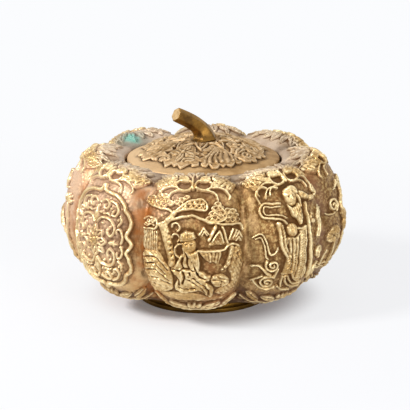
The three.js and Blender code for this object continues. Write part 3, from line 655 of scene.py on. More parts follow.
def water_and_rocks(carving):
    carving.bead([(-18.6, 8.8), (-15.4, 8.7), (-13.0, 9.2), (-12.2, 10.8), (-13.0, 12.4), (-15.0, 13.0),
                  (-17.4, 13.0), (-18.8, 12.2)], 0.8, 1.05)
    carving.bead([(-18.6, 10.2), (-16.8, 9.8), (-15.2, 10.4), (-13.6, 10.2)], 0.6, 0.95)
    carving.bead(spiral((-16.6, 11.5), (1.2, 0.3), 1.2, 200), 0.55, 1.0)
    carving.bead(spiral((-14.2, 11.5), (1.0, 0.3), 1.2, 0), 0.55, 1.0)
    for across in np.arange(-18.6, -12.6, 0.85):
        carving.bead([(across, 8.2), (across + 0.1, 4.6), (across + 0.4, 1.4)], 0.52, 0.8, (0.8, 1))
    carving.pad(ROCK, 1.05, 0.8)
    carving.score(ROCK, 66, 1.1, 0.2)
    for crack in ROCK_CRACKS:
        carving.cut(crack, 1.3, 0.8, (0.6, 1))
        carving.bead([(across, along + 0.75) for across, along in crack], 0.6, 0.25, on_top=True)
    carving.pad(BANK, 0.85, 1.2)
    carving.score(BANK, 80, 1.2, 0.3)
    carving.pad(BOULDER, 1.15, 0.9)
    for line in ([(6.8, -8.2), (8.8, -8.4), (10.6, -10.4)], [(8.4, -6.6), (10.0, -8.2), (12.0, -9.2)],
                 [(7.0, -10.2), (9.2, -10.6)], [(9.6, -9.4), (9.2, -11.4)]):
        carving.cut(line, 0.8, 0.6)


def hills(carving):
    for hill in ([(5.2, 4.2), (8.8, 9.4), (12.0, 4.4)], [(12.2, 5.2), (14.4, 9.4), (17.8, 5.6)]):
        carving.pad(hill, 0.65, 0.6, bend=False)
        carving.score(hill, 40, 0.9, 0.35, bend=False)
    for line, width in (
            ([(2.2, 8.0), (3.8, 10.2), (5.4, 8.0)], 0.7), ([(3.0, 7.8), (3.9, 9.0), (4.8, 7.6)], 0.55),
            ([(5.4, 6.0), (7.7, 10.5)], 1.2), ([(6.8, 5.6), (8.8, 9.2), (10.6, 5.4)], 0.7),
            ([(10.0, 10.4), (12.0, 4.8)], 0.9),
            ([(12.5, 6.0), (13.7, 9.6)], 0.7), ([(13.9, 6.4), (14.9, 9.0)], 0.7),
            ([(15.0, 6.8), (16.1, 8.6), (17.7, 6.4)], 0.7),
            ([(15.2, 5.4), (16.2, 6.8), (17.2, 5.2)], 0.55)):
        carving.bead(line, width, 1.1, bend=False)
    carving.pad(SLOPE, 1.05, 1.4)
    carving.score(SLOPE, 25, 1.1, 0.35)
    carving.score(SLOPE, 105, 1.7, 0.2)


print("rock:", len(ROCK_CRACKS), "cracks")

# %% The scholar and the mat
ROBE = [(-7.3, -4.4), (-5.6, -1.8), (-4.0, 0.8), (-2.4, 1.6), (-0.8, 0.6), (1.0, -1.0), (2.2, -4.2),
        (4.6, -5.6), (6.2, -6.6), (5.6, -8.2), (4.4, -9.0), (6.4, -11.0), (7.0, -13.6), (6.4, -16.2),
        (5.0, -16.4), (3.2, -14.0), (1.4, -12.9), (-0.8, -13.7), (-3.4, -14.2), (-5.8, -13.0),
        (-6.2, -10.6), (-5.2, -8.0), (-6.4, -6.2)]
ROBE_CUTS = [[(-3.2, 0.8), (-3.6, -1.6), (-2.8, -3.6)], [(-1.9, 0.8), (-1.9, -1.4), (-1.0, -3.8)],
             [(-6.6, -4.4), (-4.4, -4.6), (-2.4, -3.8), (0.4, -4.8)],
             [(-3.4, -5.0), (-2.8, -7.4), (-3.3, -9.8)], [(-5.0, -7.6), (-4.4, -8.8), (-4.6, -10.4)],
             [(-1.8, -7.8), (0.4, -9.6), (2.6, -11.8)],
             [(0.2, -7.4), (2.2, -9.4), (4.2, -10.8)], [(1.4, -5.4), (2.4, -7.0), (4.0, -7.6)],
             [(-4.8, -11.4), (-2.4, -12.2), (0.2, -11.8)],
             [(4.4, -11.6), (5.4, -13.4), (5.0, -15.6)], [(3.0, -12.4), (4.0, -14.2)],
             [(0.6, -2.0), (1.0, -4.2), (1.8, -6.2)], [(-1.2, -5.4), (-1.0, -6.8)]]
ROBE_FOLDS = [[(-5.4, -3.0), (-4.4, -0.6), (-3.4, 0.8)],
              [(-4.2, -4.0), (-1.8, -4.6), (0.6, -4.2), (1.2, -5.6)],
              [(-0.6, -8.6), (1.6, -10.6), (3.0, -12.4)],
              [(1.2, -8.2), (3.2, -9.9), (5.4, -11.4)],
              [(-5.6, -12.2), (-3.2, -13.4), (-0.6, -12.9), (1.0, -12.3)],
              [(-4.0, -5.2), (-3.8, -7.4), (-4.2, -9.4)]]


def scholar(carving):
    carving.pad(ROBE, 1.2, 0.9)
    carving.score(ROBE, 20, 1.5, 0.22)
    for line in ROBE_CUTS:
        carving.cut(line, 1.05, 1.0)
    for line in ROBE_FOLDS:
        carving.bead(line, 0.7, 0.4, on_top=True)
    carving.bead(spiral((-1.4, -7.0), (1.0, 0.3), 1.1, 90), 0.6, 1.4)
    carving.dome((4.3, -6.7), (1.4, 0.9), 1.55, -25)
    carving.dome((-1.1, 4.2), (2.9, 2.5), 1.75, 84)
    carving.pad([(-4.3, 5.4), (-4.0, 8.2), (-2.2, 9.3), (0.6, 8.9), (1.5, 6.8), (-0.4, 5.9),
                 (-2.4, 5.5)], 1.95, 0.7, bend=False)
    for line in ([(-4.0, 6.3), (-1.4, 6.5), (1.2, 7.2)], [(-1.7, 6.6), (-1.3, 8.9)],
                 [(-3.4, 7.0), (-2.6, 8.6)], [(-0.3, 7.0), (0.2, 8.6)]):
        carving.cut(line, 0.5, 0.45)
    carving.pad([(-2.6, 2.7), (-0.6, 2.0), (1.6, 2.9), (2.3, 0.4), (2.6, -2.6), (1.9, -5.4),
                 (0.7, -3.2), (-0.7, -0.8), (-1.9, 0.8)], 1.8, 0.6)
    for start, end in (((-1.2, 1.8), (-0.4, -1.2)), ((-0.3, 1.6), (0.5, -2.6)),
                       ((0.6, 1.6), (1.1, -4.0)), ((1.5, 1.8), (1.9, -3.6))):
        carving.cut([start, end], 0.45, 0.45)
    carving.bead([(-3.4, 4.8), (-4.9, 4.3), (-5.7, 2.8), (-5.5, 1.0), (-4.6, 0.2)], 0.8, 1.25, (1, 0.8))
    carving.bead([(-2.9, 3.4), (-2.8, 1.6), (-3.2, 0.4)], 0.7, 1.3, (1, 0.8))
    for across in (-2.0, -0.4):
        carving.dome((across, 4.6), (0.45, 0.3), -0.5, on_top=True)
        carving.bead([(across - 0.5, 5.15), (across + 0.5, 5.2)], 0.4, 0.2, on_top=True)
    carving.bead([(-1.2, 4.7), (-1.1, 3.7)], 0.55, 0.35, on_top=True)
    carving.cut([(-1.7, 3.0), (-0.7, 3.0)], 0.4, 0.35)


def mat_on_a_ledge(carving):
    carving.pad([(2.4, 2.4), (6.0, 2.1), (9.4, 2.4), (9.6, 0.0), (8.8, -2.2), (7.4, -1.6), (6.0, -1.9),
                 (4.6, -1.0), (3.2, 0.6)], 0.85, 0.6)
    for line in ([(3.8, 1.6), (4.6, -0.6)], [(5.0, 1.8), (5.6, -1.2)], [(6.3, 1.8), (6.6, -1.6)],
                 [(7.6, 1.8), (7.5, -1.2)], [(8.6, 1.8), (8.6, -1.8)]):
        carving.cut(line, 0.6, 0.5)
    carving.bead([(2.0, 2.7), (6.0, 2.3), (10.0, 2.7), (12.0, 3.9), (13.8, 4.5), (15.5, 3.9),
                  (16.1, 2.6), (15.2, 1.7)], 0.9, 1.15)
    carving.pad([(12.6, 3.6), (14.4, 3.4), (13.5, 0.0), (12.6, -2.8), (10.2, -4.6), (9.4, -4.3),
                 (11.0, -2.4), (12.0, 0.2)], 1.05, 0.5)
    for spot in ((13.2, 2.0), (12.8, 0.4), (12.2, -1.2), (11.4, -2.8), (10.4, -4.0)):
        carving.dome(spot, (0.4, 0.4), -0.5, on_top=True)


print("robe:", len(ROBE_CUTS), "cuts,", len(ROBE_FOLDS), "folds")

# %% [markdown]
# ## An elder among clouds
# The lobe to the right shows a robed elder with a long beard, a peach in one hand and a staff with
# a gourd, between streamers and curled clouds. The face is again a plain calm one.

# %% The elder
SLEEVE = [(-8.8, 9.8), (-7.4, 10.2), (-6.2, 7.8), (-5.9, 4.0), (-5.2, 0.2), (-4.0, -2.2), (-5.4, -2.6),
          (-7.2, -0.8), (-8.2, 2.4), (-8.6, 6.0)]
GOWN = [(-5.8, 4.6), (-2.0, 4.4), (1.0, 6.6), (3.4, 6.8), (3.8, 0.0), (4.0, -6.0), (4.6, -11.0),
        (2.0, -13.2), (-0.4, -12.2), (-2.0, -9.8), (-6.0, -8.6), (-6.0, -4.0), (-5.2, 0.0)]
HEMS = [
    ([(-6.2, -8.6), (-3.4, -8.0), (-1.8, -9.8), (0.2, -12.2), (2.4, -13.2)], 0.8),
    ([(-5.8, -10.0), (-3.8, -9.8), (-2.2, -12.0), (0.0, -14.2), (4.0, -14.4)], 0.8),
    ([(-5.9, -9.6), (-5.6, -12.4), (-4.8, -14.6)], 0.7),
    ([(-4.2, -11.0), (-2.6, -14.0), (0.6, -16.0), (4.4, -16.0)], 0.8),
    ([(-6.2, -14.6), (-3.4, -16.4), (0.0, -17.6)], 0.8)]


def elder(carving):
    carving.bead([(4.3, 14.4), (4.5, 8.0), (5.1, 0.0), (5.8, -6.0), (6.4, -13.0)], 1.25, 1.45)
    carving.dome((8.2, 16.0), (2.0, 1.2), 1.6, -8)
    carving.dome((5.4, 16.8), (1.3, 1.0), 1.5, -30)
    for centre, size in (((5.6, 9.5), 1.0), ((7.0, 8.0), 1.2), ((4.6, 7.6), 0.8), ((6.6, 10.4), 0.7)):
        carving.dome(centre, (size, size * 0.8), 1.5)
    carving.pad(GOWN, 1.05, 0.7)
    for across, top, low in ((-4.9, 3.6, -1.6), (-3.6, 3.6, -8.0), (-2.0, 3.4, -9.4),
                             (-0.5, 4.2, -11.6), (2.3, 5.8, -12.4), (3.3, 5.8, -10.8)):
        carving.cut([(across, top), (across + 0.1, -2.0), (across + 0.4, low)], 0.95, 1.0, (0.7, 1))
    for across, lowest in ((-5.2, -8.2), (-3.0, -8.6)):
        for low in np.arange(lowest, -2.2, 0.9):
            scale = [(across, low), (across + 0.7, low + 0.5), (across + 1.4, low)]
            carving.bead(scale, 0.5, 0.4, on_top=True)
    for low in np.arange(-11.4, 4.4, 0.85):
        carving.bead([(0.1, low), (0.9, low + 0.5), (1.8, low + 0.1)], 0.5, 0.4, on_top=True)
    carving.pad(SLEEVE, 1.2, 0.6)
    carving.cut([(-7.4, 9.0), (-7.2, 4.0), (-6.2, 0.2), (-4.8, -1.8)], 0.9, 0.7)
    for low in np.arange(4.2, 9.0, 0.95):
        carving.cut([(-7.2, low), (-6.2, low + 0.6)], 0.45, 0.4)
    for line, width in HEMS:
        carving.bead(line, width, 1.15)
    carving.dome((-1.2, 17.9), (3.5, 2.7), 1.8, 92)
    hat = [(-2.6, 20.2), (-0.8, 21.6), (1.2, 20.8), (1.9, 18.6), (0.9, 18.4), (-0.6, 19.6)]
    carving.pad(hat, 2.05, 0.6)
    carving.pad([(-3.4, 15.8), (-2.2, 14.4), (-0.6, 14.4), (1.0, 15.4), (1.9, 12.6), (1.7, 9.8),
                 (0.7, 7.8), (-0.6, 9.6), (-2.2, 11.2), (-2.9, 13.2)], 1.75, 0.7)
    carving.bead([(1.4, 18.6), (2.2, 16.6), (2.0, 14.0)], 1.2, 1.4, (1, 0.7))
    carving.pad([(2.8, 19.0), (4.6, 18.6), (6.6, 16.6), (5.6, 15.6), (3.2, 16.6)], 1.2, 0.6)
    for across in (-2.3, -0.4):
        carving.dome((across, 17.9), (0.5, 0.35), -0.55, on_top=True)
        carving.bead([(across - 0.6, 18.6), (across + 0.6, 18.7)], 0.45, 0.25, on_top=True)
    carving.bead([(-1.35, 18.1), (-1.3, 16.8)], 0.65, 0.4, on_top=True)
    carving.cut([(-2.1, 15.7), (-0.6, 15.7)], 0.45, 0.4)
    for start, end in (((-2.4, 14.2), (-1.5, 11.2)), ((-1.5, 14.2), (-0.5, 10.0)),
                       ((-0.5, 14.2), (0.4, 8.6)), ((0.4, 14.4), (1.0, 9.4)),
                       ((1.1, 14.6), (1.4, 10.6))):
        carving.cut([start, end], 0.45, 0.5)
    carving.dome((-3.3, 6.8), (2.3, 2.4), 2.0)
    carving.cut([(-3.5, 9.0), (-4.0, 7.0), (-3.4, 5.2)], 0.5, 0.4)
    carving.bead([(-0.6, 6.9), (1.2, 6.6), (2.8, 6.9)], 0.8, 1.5)
    carving.bead([(-0.2, 5.9), (1.4, 5.7), (3.0, 6.2)], 0.5, 1.4)


print("elder: gown of", len(GOWN), "points,", len(HEMS), "hems")

# %% Clouds and streamers
STREAMERS = [
    ([(-6.0, 16.1), (-8.6, 16.6), (-11.4, 17.3), (-13.0, 16.0), (-13.6, 14.0), (-12.8, 12.4),
      (-11.0, 11.8), (-8.0, 11.4), (-6.0, 10.4), (-5.0, 9.2)], 0.95, (1, 1)),
    ([(-6.4, 15.2), (-9.2, 15.6), (-11.6, 16.1), (-12.5, 14.6), (-12.0, 13.3), (-10.4, 12.9),
      (-6.4, 12.4), (-4.6, 11.2)], 0.6, (1, 1)),
    ([(-12.9, 17.4), (-13.1, 20.0), (-11.9, 22.3), (-10.1, 23.1), (-8.8, 22.5)], 0.9, (1, 0.8)),
    ([(-10.0, 19.0), (-9.4, 20.8), (-8.5, 22.0), (-6.8, 22.4), (-4.8, 21.9)], 0.8, (0.6, 1)),
    ([(-17.4, 5.6), (-15.2, 6.8), (-13.4, 5.8), (-12.6, 2.2), (-12.1, -0.4), (-11.4, -1.0)], 0.75,
     (0.7, 1)),
    ([(-16.6, 5.0), (-14.6, 5.4), (-13.6, 2.4), (-13.0, -1.4), (-12.2, -2.4)], 0.7, (0.7, 1)),
    ([(-11.6, -1.0), (-9.9, -0.2), (-8.8, 1.4)], 0.7, (1, 0.4)),
    ([(-17.8, -5.6), (-15.6, -5.0), (-13.8, -6.2), (-12.4, -7.6), (-10.8, -8.8)], 1.3, (0.5, 1)),
    ([(-16.2, -12.2), (-14.8, -10.8), (-13.2, -9.6)], 0.9, (0.5, 1)),
    ([(-15.4, -12.0), (-14.2, -13.6), (-12.4, -15.2), (-9.6, -15.8), (-7.4, -14.6)], 0.9, (0.6, 1)),
    ([(-8.2, -6.6), (-8.8, -8.6), (-9.8, -9.4)], 0.9, (1, 1)),
    ([(17.4, -6.0), (15.0, -7.2), (12.4, -7.0)], 1.2, (0.5, 1)),
    ([(9.6, 2.0), (11.4, 5.4), (10.8, 9.0), (12.6, 12.4)], 0.9, (1, 0.5)),
    ([(11.4, 1.6), (13.2, 4.8), (12.8, 8.6), (14.6, 11.4)], 0.8, (1, 0.5))]
CURLS = [((-10.5, -5.0), (2.4, 0.3), 140), ((-10.5, -12.1), (2.9, 0.4), 60),
         ((11.2, -4.4), (2.7, 0.4), -60), ((11.0, -11.4), (3.0, 0.5), 20),
         ((12.6, 18.4), (2.2, 0.4), 250)]


def clouds_and_streamers(carving):
    for line, width, ends in STREAMERS:
        carving.bead(line, width, 1.1, ends)
    for centre, radii, start in CURLS:
        carving.bead(spiral(centre, radii, 1.7, start), 0.95, 1.2, (1, 0.7))


print("streamers:", len(STREAMERS), "curls:", len(CURLS))

# %% [markdown]
# ## A medallion and a crane
# The lobe to the left has a barbed frame, with a lotus rosette among scrolls in it. A quarter of the
# frame is drawn and mirrored twice, so it can't come out crooked. The lobes at the back can't be seen
# in the picture, so they repeat the scenes, with a crane among lotus leaves between them, as is
# common on such boxes.

# %% Medallion
FRAME_QUARTER = [(0, 19.2), (1.2, 17.5), (4.2, 17.1), (7.4, 16.4), (10.0, 14.4), (11.4, 12.0),
                 (13.0, 10.6), (14.0, 8.4), (13.7, 5.4), (13.1, 2.8), (14.8, 0)]
SCROLLS = [
    ([(0.6, 6.2), (2.4, 8.2), (5.2, 8.6), (7.8, 7.0), (8.4, 4.2), (7.0, 2.4), (5.9, 3.4),
      (6.1, 4.8)], 1.0),
    ([(0.8, 13.4), (2.8, 14.6), (4.8, 13.6), (4.6, 11.8), (3.2, 11.6), (3.0, 12.8)], 0.9),
    ([(5.2, 14.4), (7.6, 13.6), (9.0, 11.4), (8.4, 9.6), (7.0, 9.8), (7.2, 11.2)], 0.9),
    ([(11.2, 0.6), (11.8, 3.0), (10.8, 5.2), (9.6, 5.0), (9.6, 3.6)], 0.9),
    ([(9.8, 6.4), (10.8, 8.0), (10.2, 10.0)], 0.75), ([(3.4, 9.8), (5.2, 10.2), (6.2, 9.4)], 0.6)]
SEEDS = [(2.0, 10.2), (6.0, 12.0), (9.8, 8.4), (4.0, 6.6), (8.6, 0.9), (6.9, 6.0)]
PETAL = ((1.7, 0), (3.4, 0.4), (4.8, 0.12), (5.3, 0), (4.8, -0.12), (3.4, -0.4))
PETAL_MIDDLE = 3.4


def medallion(carving):
    centre = (1.2, 1.6)
    side = FRAME_QUARTER + [(x, -y) for x, y in FRAME_QUARTER[-2::-1]]
    outline = side + [(-x, y) for x, y in side[-2:0:-1]]

    def placed(points, right=1, up=1):
        return [(centre[0] + right * x, centre[1] + up * y) for x, y in points]

    def turned(polar, angle=0):
        return placed([(radius * np.cos(angle + lean), radius * np.sin(angle + lean))
                       for radius, lean in polar])

    carving.bead(placed(outline), 1.35, 1.35, closed=True)
    for degrees in range(0, 360, 45):
        carving.bead(turned(PETAL, np.radians(degrees)), 0.8, 1.05, closed=True)
        middle = turned([(PETAL_MIDDLE, 0)], np.radians(degrees))[0]
        carving.dome(middle, (1.1, 0.5), 0.9, degrees)
    carving.dome(centre, (1.5, 1.5), 1.4)
    boss = turned([(1, lean) for lean in np.radians(range(0, 360, 60))])
    carving.bead(boss, 0.4, 0.3, closed=True, on_top=True)
    for right in (-1, 1):
        for up in (-1, 1):
            for scroll, width in SCROLLS:
                carving.bead(placed(scroll, right, up), width, 1.05, (1, 0.75))
            for seed in placed(SEEDS, right, up):
                carving.dome(seed, (0.5, 0.5), 0.95)
    for way in (-1, 1):
        tall = [(0, 6.4), (1.2, 8.4), (0.8, 10.4), (0, 12.6), (-0.8, 10.4), (-1.2, 8.4)]
        carving.pad(placed(tall, 1, way), 1.1, 0.6)
        carving.pad(placed([(6.2, 0), (7.8, 1.0), (10.2, 0), (7.8, -1.0)], way), 1.1, 0.6)


print("medallion:", 4 * len(SCROLLS), "scrolls,", 4 * len(SEEDS), "seeds")

# %% Crane
FEATHERS, TAIL_PLUMES = (-2.4, -0.8, 0.8, 2.4, 4.0), 4


def crane(carving):
    carving.pad([(-5.6, 0.4), (-3.0, 3.6), (1.4, 4.2), (5.0, 2.0), (8.8, -2.6), (6.0, -2.8),
                 (2.0, -3.8), (-2.6, -3.2)], 1.5, 1.4)
    neck = [(-3.6, 2.0), (-6.4, 5.0), (-6.2, 8.6), (-3.4, 10.6), (-2.6, 13.2), (-4.4, 15.0)]
    carving.bead(neck, 1.9, 1.4, (1.2, 0.75))
    carving.dome((-4.6, 15.2), (1.5, 1.15), 1.6, 20)
    carving.bead([(-5.6, 15.0), (-9.6, 13.8)], 0.9, 1.1, (1, 0.3))
    carving.dome((-4.8, 15.5), (0.35, 0.35), -0.5, on_top=True)
    for start in FEATHERS:
        high = 2.05 - 0.31 * start
        carving.cut([(start, high), (start + 2.0, high - 2.2), (start + 4.2, high - 4.0)], 0.7, 0.55)
    for step in range(TAIL_PLUMES):
        plume = [(5.6 + step * 0.4, -0.6 - step * 0.6), (9.2 + step * 0.6, -3.4 - step * 0.8),
                 (10.6 + step * 0.4, -6.0 - step)]
        carving.bead(plume, 0.95, 1.0, (1, 0.4))
    for foot in (-0.8, 1.4):
        carving.bead([(foot, -3.4), (foot - 0.4, -8.6), (foot + 0.4, -13.6)], 0.85, 1.1)
        for toe in (-1.8, 0, 1.8):
            carving.bead([(foot + 0.4, -13.6), (foot + 0.4 + toe, -15.2)], 0.7, 0.9, (1, 0.5))


def lotus_pond(carving):
    carving.bead([(8.4, -15.0), (10.4, -8.0), (11.8, 0.0), (11.2, 7.0)], 0.95, 1.0)
    for lean in (-60, -30, 0, 30, 60):
        angle = np.radians(90 + lean)
        petal = [(11.2 + radius * np.cos(angle + side), 7.4 + radius * np.sin(angle + side))
                 for radius, side in ((0.2, 0), (2.2, 0.35), (4.0, 0), (2.2, -0.35))]
        carving.pad(petal, 1.15, 0.6)
    carving.bead([(-9.6, -15.4), (-11.0, -9.0), (-12.4, -3.4)], 0.95, 1.0)
    carving.pad([(-17.0, -2.4), (-14.6, 0.8), (-11.4, 1.2), (-8.6, -1.0), (-8.4, -4.0), (-11.4, -5.4),
                 (-15.2, -5.0)], 1.0, 0.9)
    for spoke in range(7):
        angle = np.radians(spoke * 51.4)
        spoke_end = (-12.4 + 3.8 * np.cos(angle), -2.4 + 2.8 * np.sin(angle))
        carving.cut([(-12.4, -2.4), spoke_end], 0.6, 0.5)
    carving.bead([(-14.0, -15.0), (-15.2, -11.0), (-14.6, -8.0)], 0.85, 0.9, (1, 0.5))
    for centre, start, tail in (((-12.4, 8.8), -60, [(-16.8, 7.0), (-15.4, 6.0), (-12.6, 6.2)]),
                                ((2.4, 14.2), 200, [(8.6, 12.6), (6.4, 12.0), (4.4, 12.2)])):
        carving.bead(spiral(centre, (2.6, 0.4), 1.6, start), 1.1, 1.1, (1, 0.7))
        carving.bead(tail, 1.1, 1.0, (0.5, 1))
    for low in (-14.4, -16.2):
        for across in (-12.0, -5.6, 0.8, 7.2):
            ripple = [(across - 2.6, low - 0.5), (across, low + 0.5), (across + 2.6, low - 0.5)]
            carving.bead(ripple, 0.7, 0.75)


print("crane:", len(FEATHERS), "feathers,", TAIL_PLUMES, "tail plumes")

# %% [markdown]
# ## Carve the eight lobes
# Each panel is set on two opposite lobes, with its own small wanderings of the hand on each. The
# skin then moves along its own normal by the carved height, so that the relief is real geometry. The
# ground sinks a little, more so on the lip, and is hammered, and slow waves stand for the unevenness
# of a cast that was finished by hand.

# %% Heights of the relief
PANELS = [
    [pine_tree, water_and_rocks, hills, mat_on_a_ledge, scholar],
    [clouds_and_streamers, elder],
    [crane, lotus_pond],
    [medallion]]
lobe_angle = bowl_angle[:LOBE_COLUMNS]
lobe_across = outside_rows[:, :1] * lobe_angle[None]
lobe_along = np.broadcast_to(outside_along[:, None], lobe_across.shape)
HAND_WOBBLE, WANDER_SIZE, WANDER_WAVES = 0.2, 4.5, 10
TOOL_MARKS, MARK_SIZE, MARK_WAVES, RAISED = 0.16, 1.7, 14, (0.1, 0.5)
DIMPLE_HEIGHT, DIMPLE_PITCH, DIMPLE_RADIUS, DIMPLE_PLACES = 0.14, 1.5, 0.5, 64
PANEL_BOTTOM, PANEL_TOP, PANEL_SIDES = (-24, -18), (19, 23), (0.75, 0.92)
RELIEF_BOTTOM, RELIEF_TOP = (-37, -31), (37.5, 40)


def punched(across, along, pitch, seed):
    """Soft bosses at uneven places about pitch apart, from 0 to 1, as on a hammered ground."""
    x, y = across / pitch, along / pitch
    places = np.random.default_rng(seed).uniform(0.1, 0.9, (DIMPLE_PLACES, DIMPLE_PLACES, 2))
    best = np.full(x.shape, np.inf)
    for right in (-1, 0, 1):
        for up in (-1, 0, 1):
            column, row = np.floor(x) + right, np.floor(y) + up
            place = places[column.astype(int) % DIMPLE_PLACES, row.astype(int) % DIMPLE_PLACES]
            best = np.minimum(best, np.hypot(x - column - place[..., 0], y - row - place[..., 1]))
    return np.clip(1 - (best / DIMPLE_RADIUS) ** 2, 0, 1)


def carve_lobe(motifs, seed):
    """Heights on one lobe. The strokes wander a little, as a carver's hand does."""
    flat = np.stack([lobe_across, lobe_along, np.zeros_like(lobe_across)], -1)
    wander = [HAND_WOBBLE * unevenness(flat, WANDER_SIZE, WANDER_WAVES, seed + extra)
              for extra in (0, 50)]
    carving = Carving(lobe_across + wander[0], lobe_along + wander[1])
    for motif in [cloud_collar, lip_leaves, leaf_wreath] + motifs:
        motif(carving)
    raised = smooth(carving.height, *RAISED)
    panel = band(lobe_along, PANEL_BOTTOM, PANEL_TOP)
    panel = panel * (1 - smooth(np.abs(lobe_angle) * LOBES / np.pi, *PANEL_SIDES))
    dimples = DIMPLE_HEIGHT * punched(lobe_across, lobe_along, DIMPLE_PITCH, seed + 100)
    marks = TOOL_MARKS * unevenness(flat, MARK_SIZE, MARK_WAVES, seed + 150)
    return carving.height + (1 - raised) * panel * dimples + raised * marks


relief = np.hstack([carve_lobe(PANELS[lobe % len(PANELS)], lobe) for lobe in range(LOBES)])
relief *= band(outside_along, RELIEF_BOTTOM, RELIEF_TOP)[:, None]
print("relief from", round(relief.min(), 2), "to", round(relief.max(), 2), "mm")

# %% Move the skin out by the relief
def normals(points):
    """Outward directions of a grid that closes on itself round the axis."""
    round_axis = np.roll(points, -1, 1) - np.roll(points, 1, 1)
    upwards = np.gradient(points, axis=0)
    facing = np.cross(round_axis, upwards)
    return facing / np.maximum(np.linalg.norm(facing, axis=-1, keepdims=True), TINY)


def blurred(field, reach):
    """Mean over a square of cells, twice, round the axis too."""
    side = 2 * reach + 1
    for _ in range(2):
        field = sum(np.roll(field, shift, 1) for shift in range(-reach, reach + 1)) / side
        padded = np.pad(field, ((reach, reach), (0, 0)), mode="edge")
        field = sum(padded[shift:shift + len(field)] for shift in range(side)) / side
    return field


GROUND_DROP, LIP_DROP, UNDERSIDE_DROP, CAST_WAVES = 0.4, 0.35, 0.5, 0.22
SKIN_BOTTOM, SKIN_TOP, LIP_START, UNDERSIDE_END = (-41, -36), (37, 41), (24, 30), (-31, -26)
NEAR_CELLS, FAR_CELLS = 2, 6
outside_count = len(outside_rows)
outside_skin = bowl_skin[:outside_count]
keep_edges = band(outside_along, SKIN_BOTTOM, SKIN_TOP)[:, None]
on_lip = smooth(outside_along, *LIP_START)[:, None]
on_underside = (1 - smooth(outside_along, *UNDERSIDE_END))[:, None]
waves = CAST_WAVES * unevenness(outside_skin, size=13, waves=14, seed=3)
drop = GROUND_DROP + LIP_DROP * on_lip + UNDERSIDE_DROP * on_underside
push = relief + keep_edges * (waves - drop)
bowl_skin[:outside_count] = outside_skin + normals(outside_skin) * push[..., None]
hollow = blurred(relief, NEAR_CELLS) - relief
deep = blurred(relief, FAR_CELLS) - relief
print("skin moved from", round(push.min(), 2), "to", round(push.max(), 2), "mm")

# %% [markdown]
# ## From a grid to a mesh
# Every piece of the box is a grid of points that closes round an axis, so one function turns them
# all into meshes. Modifiers could displace a plain pot too, but a grid shows where each point goes,
# gives even faces and a flat layout for baking, and has room for numbers that the finish can read.

# %% Grid to mesh
def sheet_piece(name, points, layers, close_rows):
    """A mesh from a grid of points in millimetres that closes round the axis."""
    rows, columns = points.shape[:2]
    cells = rows if close_rows else rows - 1
    row, column = np.meshgrid(np.arange(cells), np.arange(columns), indexing="ij")
    next_row, next_column = (row + 1) % rows, (column + 1) % columns
    corners = np.stack([row * columns + column, row * columns + next_column,
                        next_row * columns + next_column, next_row * columns + column], -1)
    corners = corners.reshape(-1, 4)
    mesh = bpy.data.meshes.new(name)
    mesh.vertices.add(rows * columns)
    mesh.vertices.foreach_set("co", (points * MM).astype(np.float32).ravel())
    mesh.loops.add(corners.size)
    mesh.loops.foreach_set("vertex_index", corners.astype(np.int32).ravel())
    mesh.polygons.add(len(corners))
    mesh.polygons.foreach_set("loop_start", np.arange(0, corners.size, 4, dtype=np.int32))
    mesh.update(calc_edges=True)
    flat = mesh.uv_layers.new(name="OFBake")
    around = np.stack([column, column + 1, column + 1, column], -1) / columns
    down = np.stack([row, row, row + 1, row + 1], -1) / cells
    flat.data.foreach_set("uv", np.stack([around, down], -1).astype(np.float32).ravel())
    for layer, values in layers.items():
        data = np.zeros((rows, columns), np.float32)
        data[:len(values)] = values
        mesh.attributes.new(layer, "FLOAT", "POINT").data.foreach_set("value", data.ravel())
    mesh.validate()
    mesh.shade_smooth()
    piece = bpy.data.objects.new(name, mesh)
    bpy.context.scene.collection.objects.link(piece)
    return piece


print("numbers for the finish: up to", relief.size, "points a layer")

# %% The bowl and the layers for its finish
VALLEY_STAINS = (0.15, 0.6, 0.8, 0.3, 0.7, 0.5, 0.9, 1.0)
VERDIGRIS_SPOT, VERDIGRIS_REACH = (-27.2, 17.6, 53), 9
WINDOW_LIGHT_LEFT, WINDOW_LIGHT_UP, WINDOW_LIGHT_PATCHES, WINDOW_LIGHT_REACH = 0.8, 0.5, 9, 44
CREST_REACH = 41
carved_skin = bowl_skin[:outside_count]
crease = valley(bowl_angle)
crease_number = np.floor((bowl_angle + 2 * np.pi) * LOBES / (2 * np.pi)).astype(int) % LOBES
stains = crease * np.array(VALLEY_STAINS)[crease_number]
# Painted light: the skin is lighter towards the window at the upper left and darker away from it, in
# patches.
to_window = WINDOW_LIGHT_UP * (carved_skin[..., 2] - BELLY_HEIGHT) - WINDOW_LIGHT_LEFT * carved_skin[..., 0]
patchy = WINDOW_LIGHT_PATCHES * unevenness(carved_skin, size=24, waves=12, seed=21)
from_spot = np.linalg.norm(carved_skin - np.array(VERDIGRIS_SPOT), axis=-1)
layers = {
    "relief": relief, "hollow": hollow, "deep": deep,
    "crease": np.broadcast_to(crease[None], relief.shape),
    "stain": np.broadcast_to(stains[None], relief.shape),
    "upwards": np.broadcast_to(outside_along[:, None] / CREST_REACH, relief.shape),
    "window_light": np.clip((to_window + patchy) / WINDOW_LIGHT_REACH, -1, 1),
    "verdigris": 1 - np.clip(from_spot / VERDIGRIS_REACH, 0, 1)}
carved_bowl = sheet_piece("carved_bowl", bowl_skin, layers, True)
print(carved_bowl.name, len(carved_bowl.data.polygons), "faces")

# %% [markdown]
# ## The lid
# The lid is a low dome inside a plain sloping border, with eight shallow creases that face the
# middles of the bowl's lobes. Each part between two creases has a ragged leaf: a blossom with curls
# and a fan of veins by turns. The same strokes carve them, over (across, distance from the axis).

